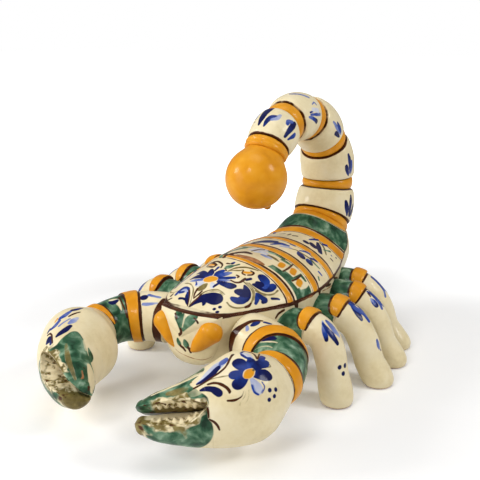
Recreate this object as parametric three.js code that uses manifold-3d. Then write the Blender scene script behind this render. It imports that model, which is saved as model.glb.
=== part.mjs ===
// A glazed earthenware scorpion ornament, in millimetres, +Z up, facing -Y.
// It is built as a potter builds it: a body moulded as an upper and a lower hollow shell,
// a tail of hollow beads stacked on one arc, and hand-modelled legs and claws. Every piece is
// luted to the next with slip, and the slip line stays as a narrow seam between the solids.
import * as THREE from "three";
import { mergeVertices } from "three/addons/utils/BufferGeometryUtils.js";
import Module from "manifold-3d";

const wasm = await Module();
wasm.setup();

// Driving dimensions: clay
const WALL = 5; // wall of the hollow pieces
const SEAM = 0.3; // slip line between two luted pieces

// Driving dimensions: spine, a level line that rises into the tail's arc
const FRONT_Y = -15; // front edge of the back, ahead of the spine's datum
const TAIL_FOOT_Y = 119; // where the level spine starts to rise
const SPINE_HEIGHT = 62.5;
const TAIL_ARC_RADIUS = 56;

// Driving dimensions: body. Each station is a place along the spine with the half width at the side
// edge, the arch of the back above it and the depth of the belly below it.
const FRONT_EDGE = { y: FRONT_Y, half: 23.5, arch: 1.5, belly: 38 };
const SHIELD_MIDDLE = { y: 8, half: 37, arch: 15.5, belly: 42 };
const SHIELD_BACK = { y: 31.5, half: 49.2, arch: 22.6, belly: 43 };
const WIDEST = { y: 61, half: 51.5, arch: 23.4, belly: 43 };
const LOINS = { y: 93, half: 47.5, arch: 22.4, belly: 41 };
const TAIL_FOOT = { y: TAIL_FOOT_Y, half: 40.5, arch: 21.6, belly: 37 };
const RUMP = { rise: 20, half: 34.5, arch: 25, belly: 31 }; // rise is in degrees up the arc
const LAST_BAND = { rise: 36, half: 31.5, arch: 27, belly: 28 };
const TAIL_SEAT = { rise: 48.5, half: 25, arch: 23.5, belly: 23.5 };
const NOSE = 12; // how far the face bulges ahead of the front edge
const FACE_DROP = 15; // the face's middle below the spine
const ARCH_CROWN = 1.45; // above 1, the back meets the side edge at a crease
const BELLY_SIDE = 0.75; // below 1, the belly's walls stand fuller than an ellipse
const BELLY_CROWN = 0.9;
const RIDGE_PROUD = 1.4; // raised bands across the back
const RIDGE_WIDTH = 8;
const LAST_RIDGE_RISE = 9;
const VENT_DIAMETER = 9; // kiln vent under the belly
const VENT_Y = 70;

// Driving dimensions: mouth parts, two pear-shaped bosses on the face
const BOSS_TOP = { x: 18.3, z: 52.7, radius: 8 };
const BOSS_FOOT = { x: 7.2, z: 39.5, radius: 3.8 };
const BOSS_SUNK = 1.5; // how deep the boss's axis lies behind the face

// Driving dimensions: tail
const TAIL_BORE_SHARE = 0.6; // bore against the bead's radius
const FIRST_BEAD_RISE = 52; // degrees up the arc
const BEAD_SPANS = [35.5, 39.5, 38.5, 34, 26.5]; // degrees from one groove to the next
const COIL_SPAN = 8; // width of the coil in each groove, in degrees
const BEAD_FIRST_RADIUS = 24.5;
const BEAD_LAST_RADIUS = 16.5;
const BEAD_TAPER = 1.6; // above 1, the beads shrink fastest near the body
const BEAD_SWELL = 1.2; // the bead's middle stands proud of its shoulders
const SHOULDER_DROP = 1.6; // the bead's rim draws in
const GROOVE_DEPTH = 3.2;
const COLLAR_RADIUS = 15.8;
const COLLAR_WIDTH = 7;
const COLLAR_ROUND = 2.5; // the collar's edges draw in by this much
const BULB_RADIUS = 22;
const BULB_NECK_RADIUS = 13.6;
const BULB_NECK_LENGTH = 1.5;
const STING_LENGTH = 8;
const STING_RADIUS = 4.2;
const STING_PITCH = 50; // degrees below the horizon, pointing back at the body

// Driving dimensions: legs, from the front pair to the rear pair. Each hip is a step behind the one
// before it, the front one behind the spine's datum. The foot sweeps back from its own hip, and the
// shin stands in from the foot, so that the toe points out.
const FRONT_LEG = { hipStep: 31, footX: 87, footSweep: -2, shinInset: 12 };
const SECOND_LEG = { hipStep: 36, footX: 97, footSweep: 5, shinInset: 19 };
const THIRD_LEG = { hipStep: 34, footX: 92.5, footSweep: 7, shinInset: 22 };
const REAR_LEG = { hipStep: 28, footX: 87, footSweep: 12, shinInset: 26 };
const HIP_HEIGHT = 46;
const HIP_SUNK = 12; // how far the leg's line starts inside the side edge
const HIP_REACH = 25; // how far the thigh aims past the side edge
const THIGH_LIFT = 6;
const KNEE_HEIGHT = 44;
const HIP_RADIUS = 12;
const THIGH_RADIUS = 11.6;
const KNEE_RADIUS = 11.8;
const SHIN_RADIUS = 9.8;
const ANKLE_RADIUS = 11;
const SOLE_RADIUS = 9;
const FOOT_SUNK = 1.5; // the rounded foot is cut flat on the ground by this much
const LEG_RING_T = 0.28; // the band sits on the thigh, this share of the way along the leg
const LEG_RING_PROUD = 2.2;
const LEG_RING_WIDTH = 8;

// Driving dimensions: arms and claws
const SHOULDER = { x: 20, y: 5, z: 44 };
const ARM_AIM = { x: 57, y: -2, z: 45 };
const ELBOW_AIM = { x: 71, y: -8, z: 40.5 };
const WRIST = { x: 70.5, y: -29, z: 38 };
const PALM_REACH = 22; // how far the palm carries on in the wrist's direction
const FINGER_AIM = { x: 55, y: -81, z: 32 };
const CLAW_TIP = { x: 25.5, y: -95.5, z: 29.5 };
const UPPER_ARM_RADIUS = 17.5;
const ELBOW_RADIUS = 16.5;
const WRIST_RADIUS = 16;
const ARM_BORE_RADIUS = 8;
const ARM_RING_T = 0.42;
const ARM_RING_PROUD = 1.4;
const ARM_RING_WIDTH = 9;
const WRIST_RING_WIDTH = 8;
const PALM_RADIUS = 26.8;
const PALM_FLATTEN = 0.95; // breadth against height
const CLAW_TIP_RADIUS = 7;
const MOUTH_T = 0.59; // where the mouth's corner lies along the claw
const MOUTH_TILT = 35; // degrees, the lower finger leans outwards
const MOUTH_BEVEL = 0.5; // how fast each finger's face slopes away towards the outer lip
const MOUTH_CORNER_GAP = 1.6;
const MOUTH_TIP_GAP = 3;
const TEETH_PER_FINGER = 7;
const TOOTH_RADIUS = 2.6;
const TOOTH_PROUD = 1;

// How finely the round forms are cut
const BODY_SIDES = 24;
const LEG_SIDES = 10;
const LEG_STEPS = 8;
const ARM_SIDES = 16;
const CLAW_STEPS = 13;
const TAIL_SIDES = 16;
const BORE_SIDES = 9;

// Glazes
const glaze = (color) => new THREE.MeshStandardMaterial({ color, roughness: 0.22, metalness: 0 });
const CREAM = glaze(0xe6dbb4);
const OCHRE = glaze(0xe79a1f);
const GREEN = glaze(0x2f6b4c);
const BROWN = glaze(0x5a2b16);

const X_AXIS = new THREE.Vector3(1, 0, 0);
const Y_AXIS = new THREE.Vector3(0, 1, 0);
const Z_AXIS = new THREE.Vector3(0, 0, 1);
const radians = THREE.MathUtils.degToRad;
const range = (spans, from, to) =>
  Array.from({ length: spans + 1 }, (_, i) => from + ((to - from) * i) / spans);
const vector = ({ x, y, z }, side = 1) => new THREE.Vector3(side * x, y, z);

// A smooth curve of one value through stations, by cubic Hermite spans with central slopes.
function profile(stations, at, value) {
  const x = stations.map(at);
  const y = stations.map(value);
  const slope = x.map((_, i) => {
    const before = Math.max(i - 1, 0);
    const after = Math.min(i + 1, x.length - 1);
    return (y[after] - y[before]) / (x[after] - x[before]);
  });
  return (place) => {
    const last = x.length - 1;
    const p = THREE.MathUtils.clamp(place, x[0], x[last]);
    const i = Math.max(0, Math.min(last - 1, x.findLastIndex((v) => v <= p)));
    const span = x[i + 1] - x[i];
    const u = (p - x[i]) / span;
    return (
      y[i] * (2 * u ** 3 - 3 * u ** 2 + 1) +
      slope[i] * span * (u ** 3 - 2 * u ** 2 + u) +
      y[i + 1] * (3 * u ** 2 - 2 * u ** 3) +
      slope[i + 1] * span * (u ** 3 - u ** 2)
    );
  };
}

// A closed surface over rings of points that run anticlockwise about the way from ring to ring.
// With loop, the last ring joins the first, as round a tube's wall; otherwise a fan closes each end.
function loft(rings, { loop = false, startTip = null, endTip = null } = {}) {
  const count = rings[0].length;
  const points = rings.flat();
  const faces = [];
  const spans = loop ? rings.length : rings.length - 1;
  for (let i = 0; i < spans; i++) {
    const a = i * count;
    const b = ((i + 1) % rings.length) * count;
    for (let j = 0; j < count; j++) {
      const k = (j + 1) % count;
      faces.push(a + j, a + k, b + j, a + k, b + k, b + j);
    }
  }
  if (!loop) {
    const middle = (ring) => ring.reduce((sum, p) => sum.add(p), new THREE.Vector3()).divideScalar(count);
    const start = points.push(startTip ?? middle(rings[0])) - 1;
    const end = points.push(endTip ?? middle(rings.at(-1))) - 1;
    const last = (rings.length - 1) * count;
    for (let j = 0; j < count; j++) {
      const k = (j + 1) % count;
      faces.push(start, k, j, end, last + j, last + k);
    }
  }
  return new THREE.BufferGeometry().setFromPoints(points).setIndex(faces);
}

// A closed geometry as a solid that can be joined and cut, and back again.
function solid(geometry) {
  const bare = new THREE.BufferGeometry().setAttribute("position", geometry.getAttribute("position"));
  const merged = mergeVertices(bare.setIndex(geometry.index), 1e-4);
  const vertProperties = new Float32Array(merged.getAttribute("position").array);
  const triVerts = new Uint32Array(merged.index.array);
  return new wasm.Manifold(new wasm.Mesh({ numProp: 3, vertProperties, triVerts }));
}

function geometryOf(manifold) {
  const made = manifold.getMesh();
  const position = new THREE.BufferAttribute(new Float32Array(made.vertProperties), 3);
  const index = new THREE.BufferAttribute(new Uint32Array(made.triVerts), 1);
  const geometry = new THREE.BufferGeometry().setAttribute("position", position).setIndex(index);
  geometry.computeVertexNormals();
  return geometry;
}

function placed(geometry, matrix) {
  return solid(geometry.clone().applyMatrix4(matrix));
}

// Group that holds the whole ornament, one mesh to each piece.
const scorpion = new THREE.Group();
function piece(name, form, material) {
  const geometry = form.isBufferGeometry ? form : geometryOf(form);
  const mesh = new THREE.Mesh(geometry, material);
  mesh.name = name;
  scorpion.add(mesh);
  return mesh;
}

// The spine: its point, its forward run and its inward side at a distance behind the front edge.
const LEVEL_LENGTH = TAIL_FOOT_Y - FRONT_Y;
const onArc = (degrees) => LEVEL_LENGTH + radians(degrees) * TAIL_ARC_RADIUS;
function spine(distance) {
  const rise = Math.max(0, distance - LEVEL_LENGTH) / TAIL_ARC_RADIUS;
  const up = new THREE.Vector3(0, -Math.sin(rise), Math.cos(rise));
  const level = new THREE.Vector3(0, FRONT_Y + Math.min(distance, LEVEL_LENGTH), SPINE_HEIGHT);
  const lift = new THREE.Vector3(0, 0, TAIL_ARC_RADIUS).addScaledVector(up, -TAIL_ARC_RADIUS);
  return { point: level.add(lift), up, along: new THREE.Vector3(0, Math.cos(rise), Math.sin(rise)) };
}

// Body
const STATIONS = [
  FRONT_EDGE, SHIELD_MIDDLE, SHIELD_BACK, WIDEST, LOINS, TAIL_FOOT, RUMP, LAST_BAND, TAIL_SEAT,
];
const stationDistance = (s) => ("rise" in s ? onArc(s.rise) : s.y - FRONT_Y);
const halfAt = profile(STATIONS, stationDistance, (s) => s.half);
const archAt = profile(STATIONS, stationDistance, (s) => s.arch);
const bellyAt = profile(STATIONS, stationDistance, (s) => s.belly);
const BODY_END = stationDistance(TAIL_SEAT);
const RIDGES = [SHIELD_BACK, WIDEST, LOINS].map(stationDistance).concat(onArc(LAST_RIDGE_RISE));
const ridgeAt = (distance) =>
  RIDGES.reduce((high, ridge) => {
    const off = Math.min(1, Math.abs(distance - ridge) / (RIDGE_WIDTH / 2));
    return Math.max(high, (RIDGE_PROUD * (1 + Math.cos(Math.PI * off))) / 2);
  }, 0);

// One cross-section of the body: an arched back over a fuller belly, meeting at the side edges.
function bodyRing(distance, grow, ridge, sides) {
  const { point, up } = spine(distance);
  const half = halfAt(distance) + grow;
  return range(sides, 0, 2 * Math.PI)
    .slice(0, -1)
    .map((angle) => {
      const high = Math.cos(angle);
      const wide = Math.sin(angle);
      const back = high > -1e-9;
      const full = half + (back ? ridge : 0);
      const reach = full * Math.sign(wide) * Math.abs(wide) ** (back ? 1 : BELLY_SIDE);
      const height = back
        ? (archAt(distance) + grow + ridge) * Math.max(0, high) ** ARCH_CROWN
        : -(bellyAt(distance) + grow) * (-high) ** BELLY_CROWN;
      return point.clone().addScaledVector(X_AXIS, reach).addScaledVector(up, height);
    });
}

// The whole body as one form: the face's dome, then the sections to the tail seat, grown by a margin.
// The hollow is the same form drawn in, with no ridges and fewer sides, run on past the seat to open it.
function bodySolid(grow, past, hollow = false) {
  const sides = hollow ? BODY_SIDES / 2 : BODY_SIDES;
  const section = (distance) => bodyRing(distance, grow, hollow ? 0 : ridgeAt(distance), sides);
  const faceMiddle = new THREE.Vector3(0, FRONT_Y, SPINE_HEIGHT - FACE_DROP);
  const bulge = NOSE + grow;
  const front = bodyRing(0, grow, 0, sides);
  const dome = [75, 50, 25].map((degrees) => {
    const ahead = new THREE.Vector3(0, -bulge * Math.sin(radians(degrees)), 0);
    const shrink = Math.cos(radians(degrees));
    return front.map((p) => p.clone().lerp(faceMiddle, 1 - shrink).add(ahead));
  });
  const ridged = RIDGES.flatMap((r) => [r - RIDGE_WIDTH / 2, r, r + RIDGE_WIDTH / 2]);
  const clear = (d) => hollow || ridged.every((r) => Math.abs(r - d) > RIDGE_WIDTH / 3);
  const places = range(9, 0, BODY_END).filter((d) => clear(d) || d === 0);
  const all = hollow ? places : [...places, ...ridged].sort((a, b) => a - b);
  const sections = all.map(section);
  const { along } = spine(BODY_END);
  if (past) sections.push(sections.at(-1).map((p) => p.clone().addScaledVector(along, past)));
  const nose = faceMiddle.clone().addScaledVector(Y_AXIS, -bulge);
  return solid(loft([...dome, ...sections], { startTip: nose }));
}

// The space above the side edges between two places on the spine, where the upper mould lies.
function upperSpace(from, to, lift) {
  const bends = range(6, LEVEL_LENGTH, BODY_END).filter((distance) => distance > from && distance < to);
  const level = range(8, 0, LEVEL_LENGTH).filter((distance) => distance > from && distance < to - 1);
  const places = [from, ...new Set([...level, ...bends]), to];
  const rings = places.map((distance) => {
    const { point, up } = spine(distance);
    const half = halfAt(distance) + 3 * RIDGE_PROUD;
    const top = archAt(distance) + 3 * RIDGE_PROUD;
    const corner = (x, z) => point.clone().addScaledVector(X_AXIS, x).addScaledVector(up, z);
    return [corner(half, top), corner(half, lift), corner(-half, lift), corner(-half, top)];
  });
  return solid(loft(rings));
}

const bodyShell = bodySolid(0, 0).subtract(bodySolid(-WALL, WALL, true));
const bodyCutter = bodySolid(SEAM, SEAM);
const SHIELD_END = RIDGES[0];
const shieldSpace = upperSpace(0, SHIELD_END - SEAM / 2, SEAM / 2);
const bandSpace = upperSpace(SHIELD_END + SEAM / 2, BODY_END + SEAM, SEAM / 2);
const upperCut = upperSpace(-SEAM, BODY_END + SEAM, -SEAM / 2);
const vent = placed(
  new THREE.CylinderGeometry(VENT_DIAMETER / 2, VENT_DIAMETER / 2, 2 * SPINE_HEIGHT, 16)
    .rotateX(Math.PI / 2),
  new THREE.Matrix4().makeTranslation(0, VENT_Y, 0),
);
piece("carapace_shield", bodyShell.intersect(shieldSpace), CREAM);
piece("abdomen_back", bodyShell.intersect(bandSpace), CREAM);
piece("belly_shell", bodyShell.subtract(upperCut).subtract(vent), CREAM);

// A point, direction and cross axes on a path. The reference sets where the first cross axis faces.
function frameOn(path, t, reference) {
  const along = path.getTangent(Math.min(1, Math.max(0, t)));
  const first = reference.clone().addScaledVector(along, -reference.dot(along)).normalize();
  const second = new THREE.Vector3().crossVectors(along, first);
  const point = path.getPoint(Math.min(1, Math.max(0, t)));
  const over = t - Math.min(1, Math.max(0, t));
  return { point: point.addScaledVector(along, over * path.getLength()), along, first, second };
}

function ringOn(frame, radius, sides, flatten = 1) {
  return range(sides, 0, 2 * Math.PI)
    .slice(0, -1)
    .map((angle) =>
      frame.point
        .clone()
        .addScaledVector(frame.first, radius * Math.cos(angle))
        .addScaledVector(frame.second, radius * flatten * Math.sin(angle)),
    );
}

// A band of clay with a rounded outside, centred on a frame, filled to its middle before it is cut.
function bandOn(frame, radius, width, sides) {
  const bulge = range(3, -Math.PI / 2, Math.PI / 2).map(
    (a) => new THREE.Vector2(radius - (width / 3) * (1 - Math.cos(a)), (width / 2) * Math.sin(a)),
  );
  const section = [new THREE.Vector2(0, -width / 2), ...bulge, new THREE.Vector2(0, width / 2)];
  const lathe = new THREE.LatheGeometry(section, sides);
  const turn = new THREE.Matrix4()
    .makeBasis(frame.second, frame.along, frame.first)
    .setPosition(frame.point);
  return placed(lathe, turn);
}

// Mouth parts: pear-shaped bosses that hang from the face
for (const [hand, side] of [["left", -1], ["right", 1]]) {
  const faceY = (x, z) => {
    const above = z - SPINE_HEIGHT + FACE_DROP;
    const reach = above > 0 ? FACE_DROP + FRONT_EDGE.arch : FRONT_EDGE.belly - FACE_DROP;
    const out = Math.min(1, Math.hypot(x / FRONT_EDGE.half, above / reach));
    return FRONT_Y - NOSE * Math.sqrt(1 - out * out) + BOSS_SUNK;
  };
  const place = ({ x, z }) => new THREE.Vector3(side * x, faceY(x, z), z);
  const path = new THREE.LineCurve3(place(BOSS_TOP), place(BOSS_FOOT));
  const swell = [-0.35, -0.28, -0.1, 0.15, 0.45, 0.75, 0.95, 1.08];
  const rings = swell.map((t) => {
    const blend = THREE.MathUtils.clamp(t, 0, 1);
    const body = BOSS_TOP.radius + (BOSS_FOOT.radius - BOSS_TOP.radius) * blend;
    const cap = Math.sqrt(Math.max(0, 1 - (Math.max(-t / 0.37, (t - 0.6) / 0.5, 0)) ** 2));
    return ringOn(frameOn(path, t, Y_AXIS), body * cap, 12);
  });
  piece("mouth_boss_" + hand, solid(loft(rings)).subtract(bodyCutter), OCHRE);
}

// Tail: hollow beads along the arc, a coil of clay in each groove, then the collar and the bulb
const BEAD_ENDS = BEAD_SPANS.reduce((ends, span) => [...ends, ends.at(-1) + span], [FIRST_BEAD_RISE]);
const ARC_END = BEAD_ENDS.at(-1);
const beadRadius = (rise) => {
  const left = THREE.MathUtils.clamp((ARC_END - rise) / (ARC_END - FIRST_BEAD_RISE), 0, 1);
  return BEAD_LAST_RADIUS + (BEAD_FIRST_RADIUS - BEAD_LAST_RADIUS) * left ** BEAD_TAPER;
};
const degreesOf = (length) => THREE.MathUtils.radToDeg(length / TAIL_ARC_RADIUS);

function tailRing(rise, radius, sides = TAIL_SIDES) {
  const { point, up, along } = spine(onArc(rise));
  return ringOn({ point, first: up, second: new THREE.Vector3().crossVectors(along, up) }, radius, sides);
}

// A hollow length of tail: outside stations as [degrees, radius], over one even bore.
function tailPiece(stations) {
  const [start, end] = [stations[0][0], stations.at(-1)[0]];
  const bore = TAIL_BORE_SHARE * beadRadius((start + end) / 2);
  const outside = stations.map(([rise, radius]) => tailRing(rise, radius));
  return loft([...outside, tailRing(end, bore), tailRing(start, bore)], { loop: true });
}

BEAD_SPANS.forEach((span, i) => {
  const coilStart = BEAD_ENDS[i] - COIL_SPAN / 2;
  const coilEnd = BEAD_ENDS[i] + COIL_SPAN / 2;
  const last = i === BEAD_SPANS.length - 1;
  const beadEnd = BEAD_ENDS[i + 1] - (last ? 0 : COIL_SPAN / 2);
  const groove = beadRadius(BEAD_ENDS[i]) - GROOVE_DEPTH;
  const shoulder = degreesOf(2 * SHOULDER_DROP);
  const from = coilEnd + degreesOf(SEAM);
  const swell = (share) => {
    const rise = from + (beadEnd - from) * share;
    return [rise, beadRadius(rise) + BEAD_SWELL * Math.sin(Math.PI * share)];
  };
  const start = i === 0 ? onTailSeat() : coilStart;
  piece(
    `tail_coil_${i + 1}`,
    tailPiece([
      [start, groove + SHOULDER_DROP / 2],
      [(start + coilEnd) / 2, groove],
      [coilEnd, groove + SHOULDER_DROP / 2],
    ]),
    OCHRE,
  );
  piece(
    `tail_bead_${i + 1}`,
    tailPiece([
      [from, beadRadius(from) - SHOULDER_DROP],
      [from + shoulder, beadRadius(from)],
      swell(0.35),
      swell(0.65),
      [beadEnd - degreesOf(SEAM) - shoulder, beadRadius(beadEnd)],
      [beadEnd - degreesOf(SEAM), beadRadius(beadEnd) - SHOULDER_DROP],
    ]),
    CREAM,
  );
});

// The first coil starts where the body's tail seat ends.
function onTailSeat() {
  return TAIL_SEAT.rise + degreesOf(SEAM);
}

const COLLAR_END = ARC_END + degreesOf(COLLAR_WIDTH);
const collarRound = range(4, 0, Math.PI).map((a) => [
  ARC_END + ((COLLAR_END - ARC_END) * (1 - Math.cos(a))) / 2,
  COLLAR_RADIUS - COLLAR_ROUND * (1 - Math.sin(a)),
]);
piece("tail_collar", tailPiece(collarRound), OCHRE);

// The bulb is a hollow ball on a short neck, open into the tail.
const BULB_BORE = TAIL_BORE_SHARE * BEAD_LAST_RADIUS;
const BULB_CENTRE = Math.sqrt(BULB_RADIUS ** 2 - BULB_NECK_RADIUS ** 2) + BULB_NECK_LENGTH;
const bulbArc = (radius, from, steps) => {
  const start = Math.asin(from / radius);
  return range(steps, start, Math.PI).map(
    (a) => new THREE.Vector2(radius * Math.sin(a), BULB_CENTRE - radius * Math.cos(a)),
  );
};
const bulbOutside = bulbArc(BULB_RADIUS, BULB_NECK_RADIUS, 10);
const bulbInside = bulbArc(BULB_RADIUS - WALL, BULB_BORE, 5).reverse();
const bulbSection = [
  ...bulbInside,
  new THREE.Vector2(BULB_BORE, 0),
  new THREE.Vector2(BULB_NECK_RADIUS, 0),
  ...bulbOutside,
];
const bulbLathe = new THREE.LatheGeometry(bulbSection, TAIL_SIDES + 2);
const bulbSeat = spine(onArc(COLLAR_END + degreesOf(SEAM)));
const bulbCross = new THREE.Vector3().crossVectors(bulbSeat.along, bulbSeat.up);
const bulbTurn = new THREE.Matrix4()
  .makeBasis(bulbCross, bulbSeat.along, bulbSeat.up)
  .setPosition(bulbSeat.point);
piece("telson_bulb", placed(bulbLathe, bulbTurn), OCHRE);

const bulbMiddle = bulbSeat.point.clone().addScaledVector(bulbSeat.along, BULB_CENTRE);
const stingRun = new THREE.Vector3(0, Math.cos(radians(STING_PITCH)), -Math.sin(radians(STING_PITCH)));
const stingSeat = bulbMiddle.clone().addScaledVector(stingRun, BULB_RADIUS + SEAM);
const stingEnd = stingSeat.clone().addScaledVector(stingRun, STING_LENGTH);
const stingPath = new THREE.LineCurve3(stingSeat, stingEnd);
const stingShape = [[-0.25, 1], [0.2, 0.9], [0.6, 0.6], [0.9, 0.32], [1, 0.15]];
const stingRings = stingShape.map(([t, share]) =>
  ringOn(frameOn(stingPath, t, X_AXIS), share * STING_RADIUS, 10),
);
const stingBlank = solid(loft(stingRings));
const BULB_GROWN = BULB_RADIUS + SEAM;
const grownArc = bulbArc(BULB_GROWN, (BULB_NECK_RADIUS * BULB_GROWN) / BULB_RADIUS, 10);
const grownSection = [new THREE.Vector2(0, grownArc[0].y), ...grownArc];
const bulbCutter = placed(new THREE.LatheGeometry(grownSection, TAIL_SIDES + 2), bulbTurn);
piece("sting", stingBlank.subtract(bulbCutter), BROWN);

// Legs: each is one rolled and bent piece with a flat sole, and wears a band of clay at its hip
let hipY = 0;
const LEGS = [FRONT_LEG, SECOND_LEG, THIRD_LEG, REAR_LEG].map((leg) => {
  hipY += leg.hipStep;
  return { hipY, footX: leg.footX, footY: hipY + leg.footSweep, shinX: leg.footX - leg.shinInset };
});
const place = (station) => station[0];
const size = (station) => station[1];
const legRadius = profile(
  [[0, HIP_RADIUS], [LEG_RING_T, THIGH_RADIUS], [0.5, KNEE_RADIUS], [0.72, SHIN_RADIUS],
    [0.9, ANKLE_RADIUS], [1, SOLE_RADIUS]],
  place,
  size,
);
const ground = placed(
  new THREE.BoxGeometry(4 * LEVEL_LENGTH, 4 * LEVEL_LENGTH, LEVEL_LENGTH),
  new THREE.Matrix4().makeTranslation(0, 0, -LEVEL_LENGTH / 2),
);

function legPath({ hipY, footX, footY, shinX }, side) {
  const hipX = halfAt(hipY - FRONT_Y);
  return new THREE.CubicBezierCurve3(
    new THREE.Vector3(side * (hipX - HIP_SUNK), hipY, HIP_HEIGHT),
    new THREE.Vector3(side * (hipX + HIP_REACH), hipY, HIP_HEIGHT + THIGH_LIFT),
    new THREE.Vector3(side * shinX, footY, KNEE_HEIGHT),
    new THREE.Vector3(side * footX, footY, -FOOT_SUNK),
  );
}

function legSolid(path, grow) {
  const ring = (t) => ringOn(frameOn(path, t, Y_AXIS), legRadius(t) + grow, LEG_SIDES);
  return solid(loft(range(LEG_STEPS, 0, 1).map(ring)));
}

for (const [hand, side] of [["left", -1], ["right", 1]]) {
  LEGS.forEach((leg, i) => {
    const path = legPath(leg, side);
    const ringFrame = frameOn(path, LEG_RING_T, Y_AXIS);
    const band = bandOn(ringFrame, legRadius(LEG_RING_T) + LEG_RING_PROUD, LEG_RING_WIDTH, LEG_SIDES);
    piece(`leg_${hand}_${i + 1}`, legSolid(path, 0).subtract(bodyCutter).subtract(ground), CREAM);
    piece(`leg_band_${hand}_${i + 1}`, band.subtract(legSolid(path, SEAM)).subtract(bodyCutter), OCHRE);
  });
}

// Arms and claws
const armRadius = profile(
  [[0, UPPER_ARM_RADIUS], [ARM_RING_T, UPPER_ARM_RADIUS], [0.7, ELBOW_RADIUS], [1, WRIST_RADIUS]],
  place,
  size,
);
const CLAW_SHARES = [[0.13, 0.78], [0.3, 1], [0.48, 0.94], [0.64, 0.78], [0.8, 0.6], [0.93, 0.44]];
const clawRadius = profile(
  [[0, WRIST_RADIUS], ...CLAW_SHARES.map(([t, share]) => [t, share * PALM_RADIUS]), [1, CLAW_TIP_RADIUS]],
  place,
  size,
);

// A length of arm between two places on its line, with a bore where one is asked for.
function armTube(path, from, to, grow, bore) {
  const steps = Math.max(3, Math.round(10 * (to - from)));
  const ring = (radius, sides) => (t) => ringOn(frameOn(path, t, Z_AXIS), radius(t), sides);
  const blank = solid(loft(range(steps, from, to).map(ring((t) => armRadius(t) + grow, ARM_SIDES))));
  if (!bore) return blank;
  const over = SEAM / path.getLength();
  return blank.subtract(solid(loft(range(4, from - over, to + over).map(ring(() => bore, BORE_SIDES)))));
}

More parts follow.
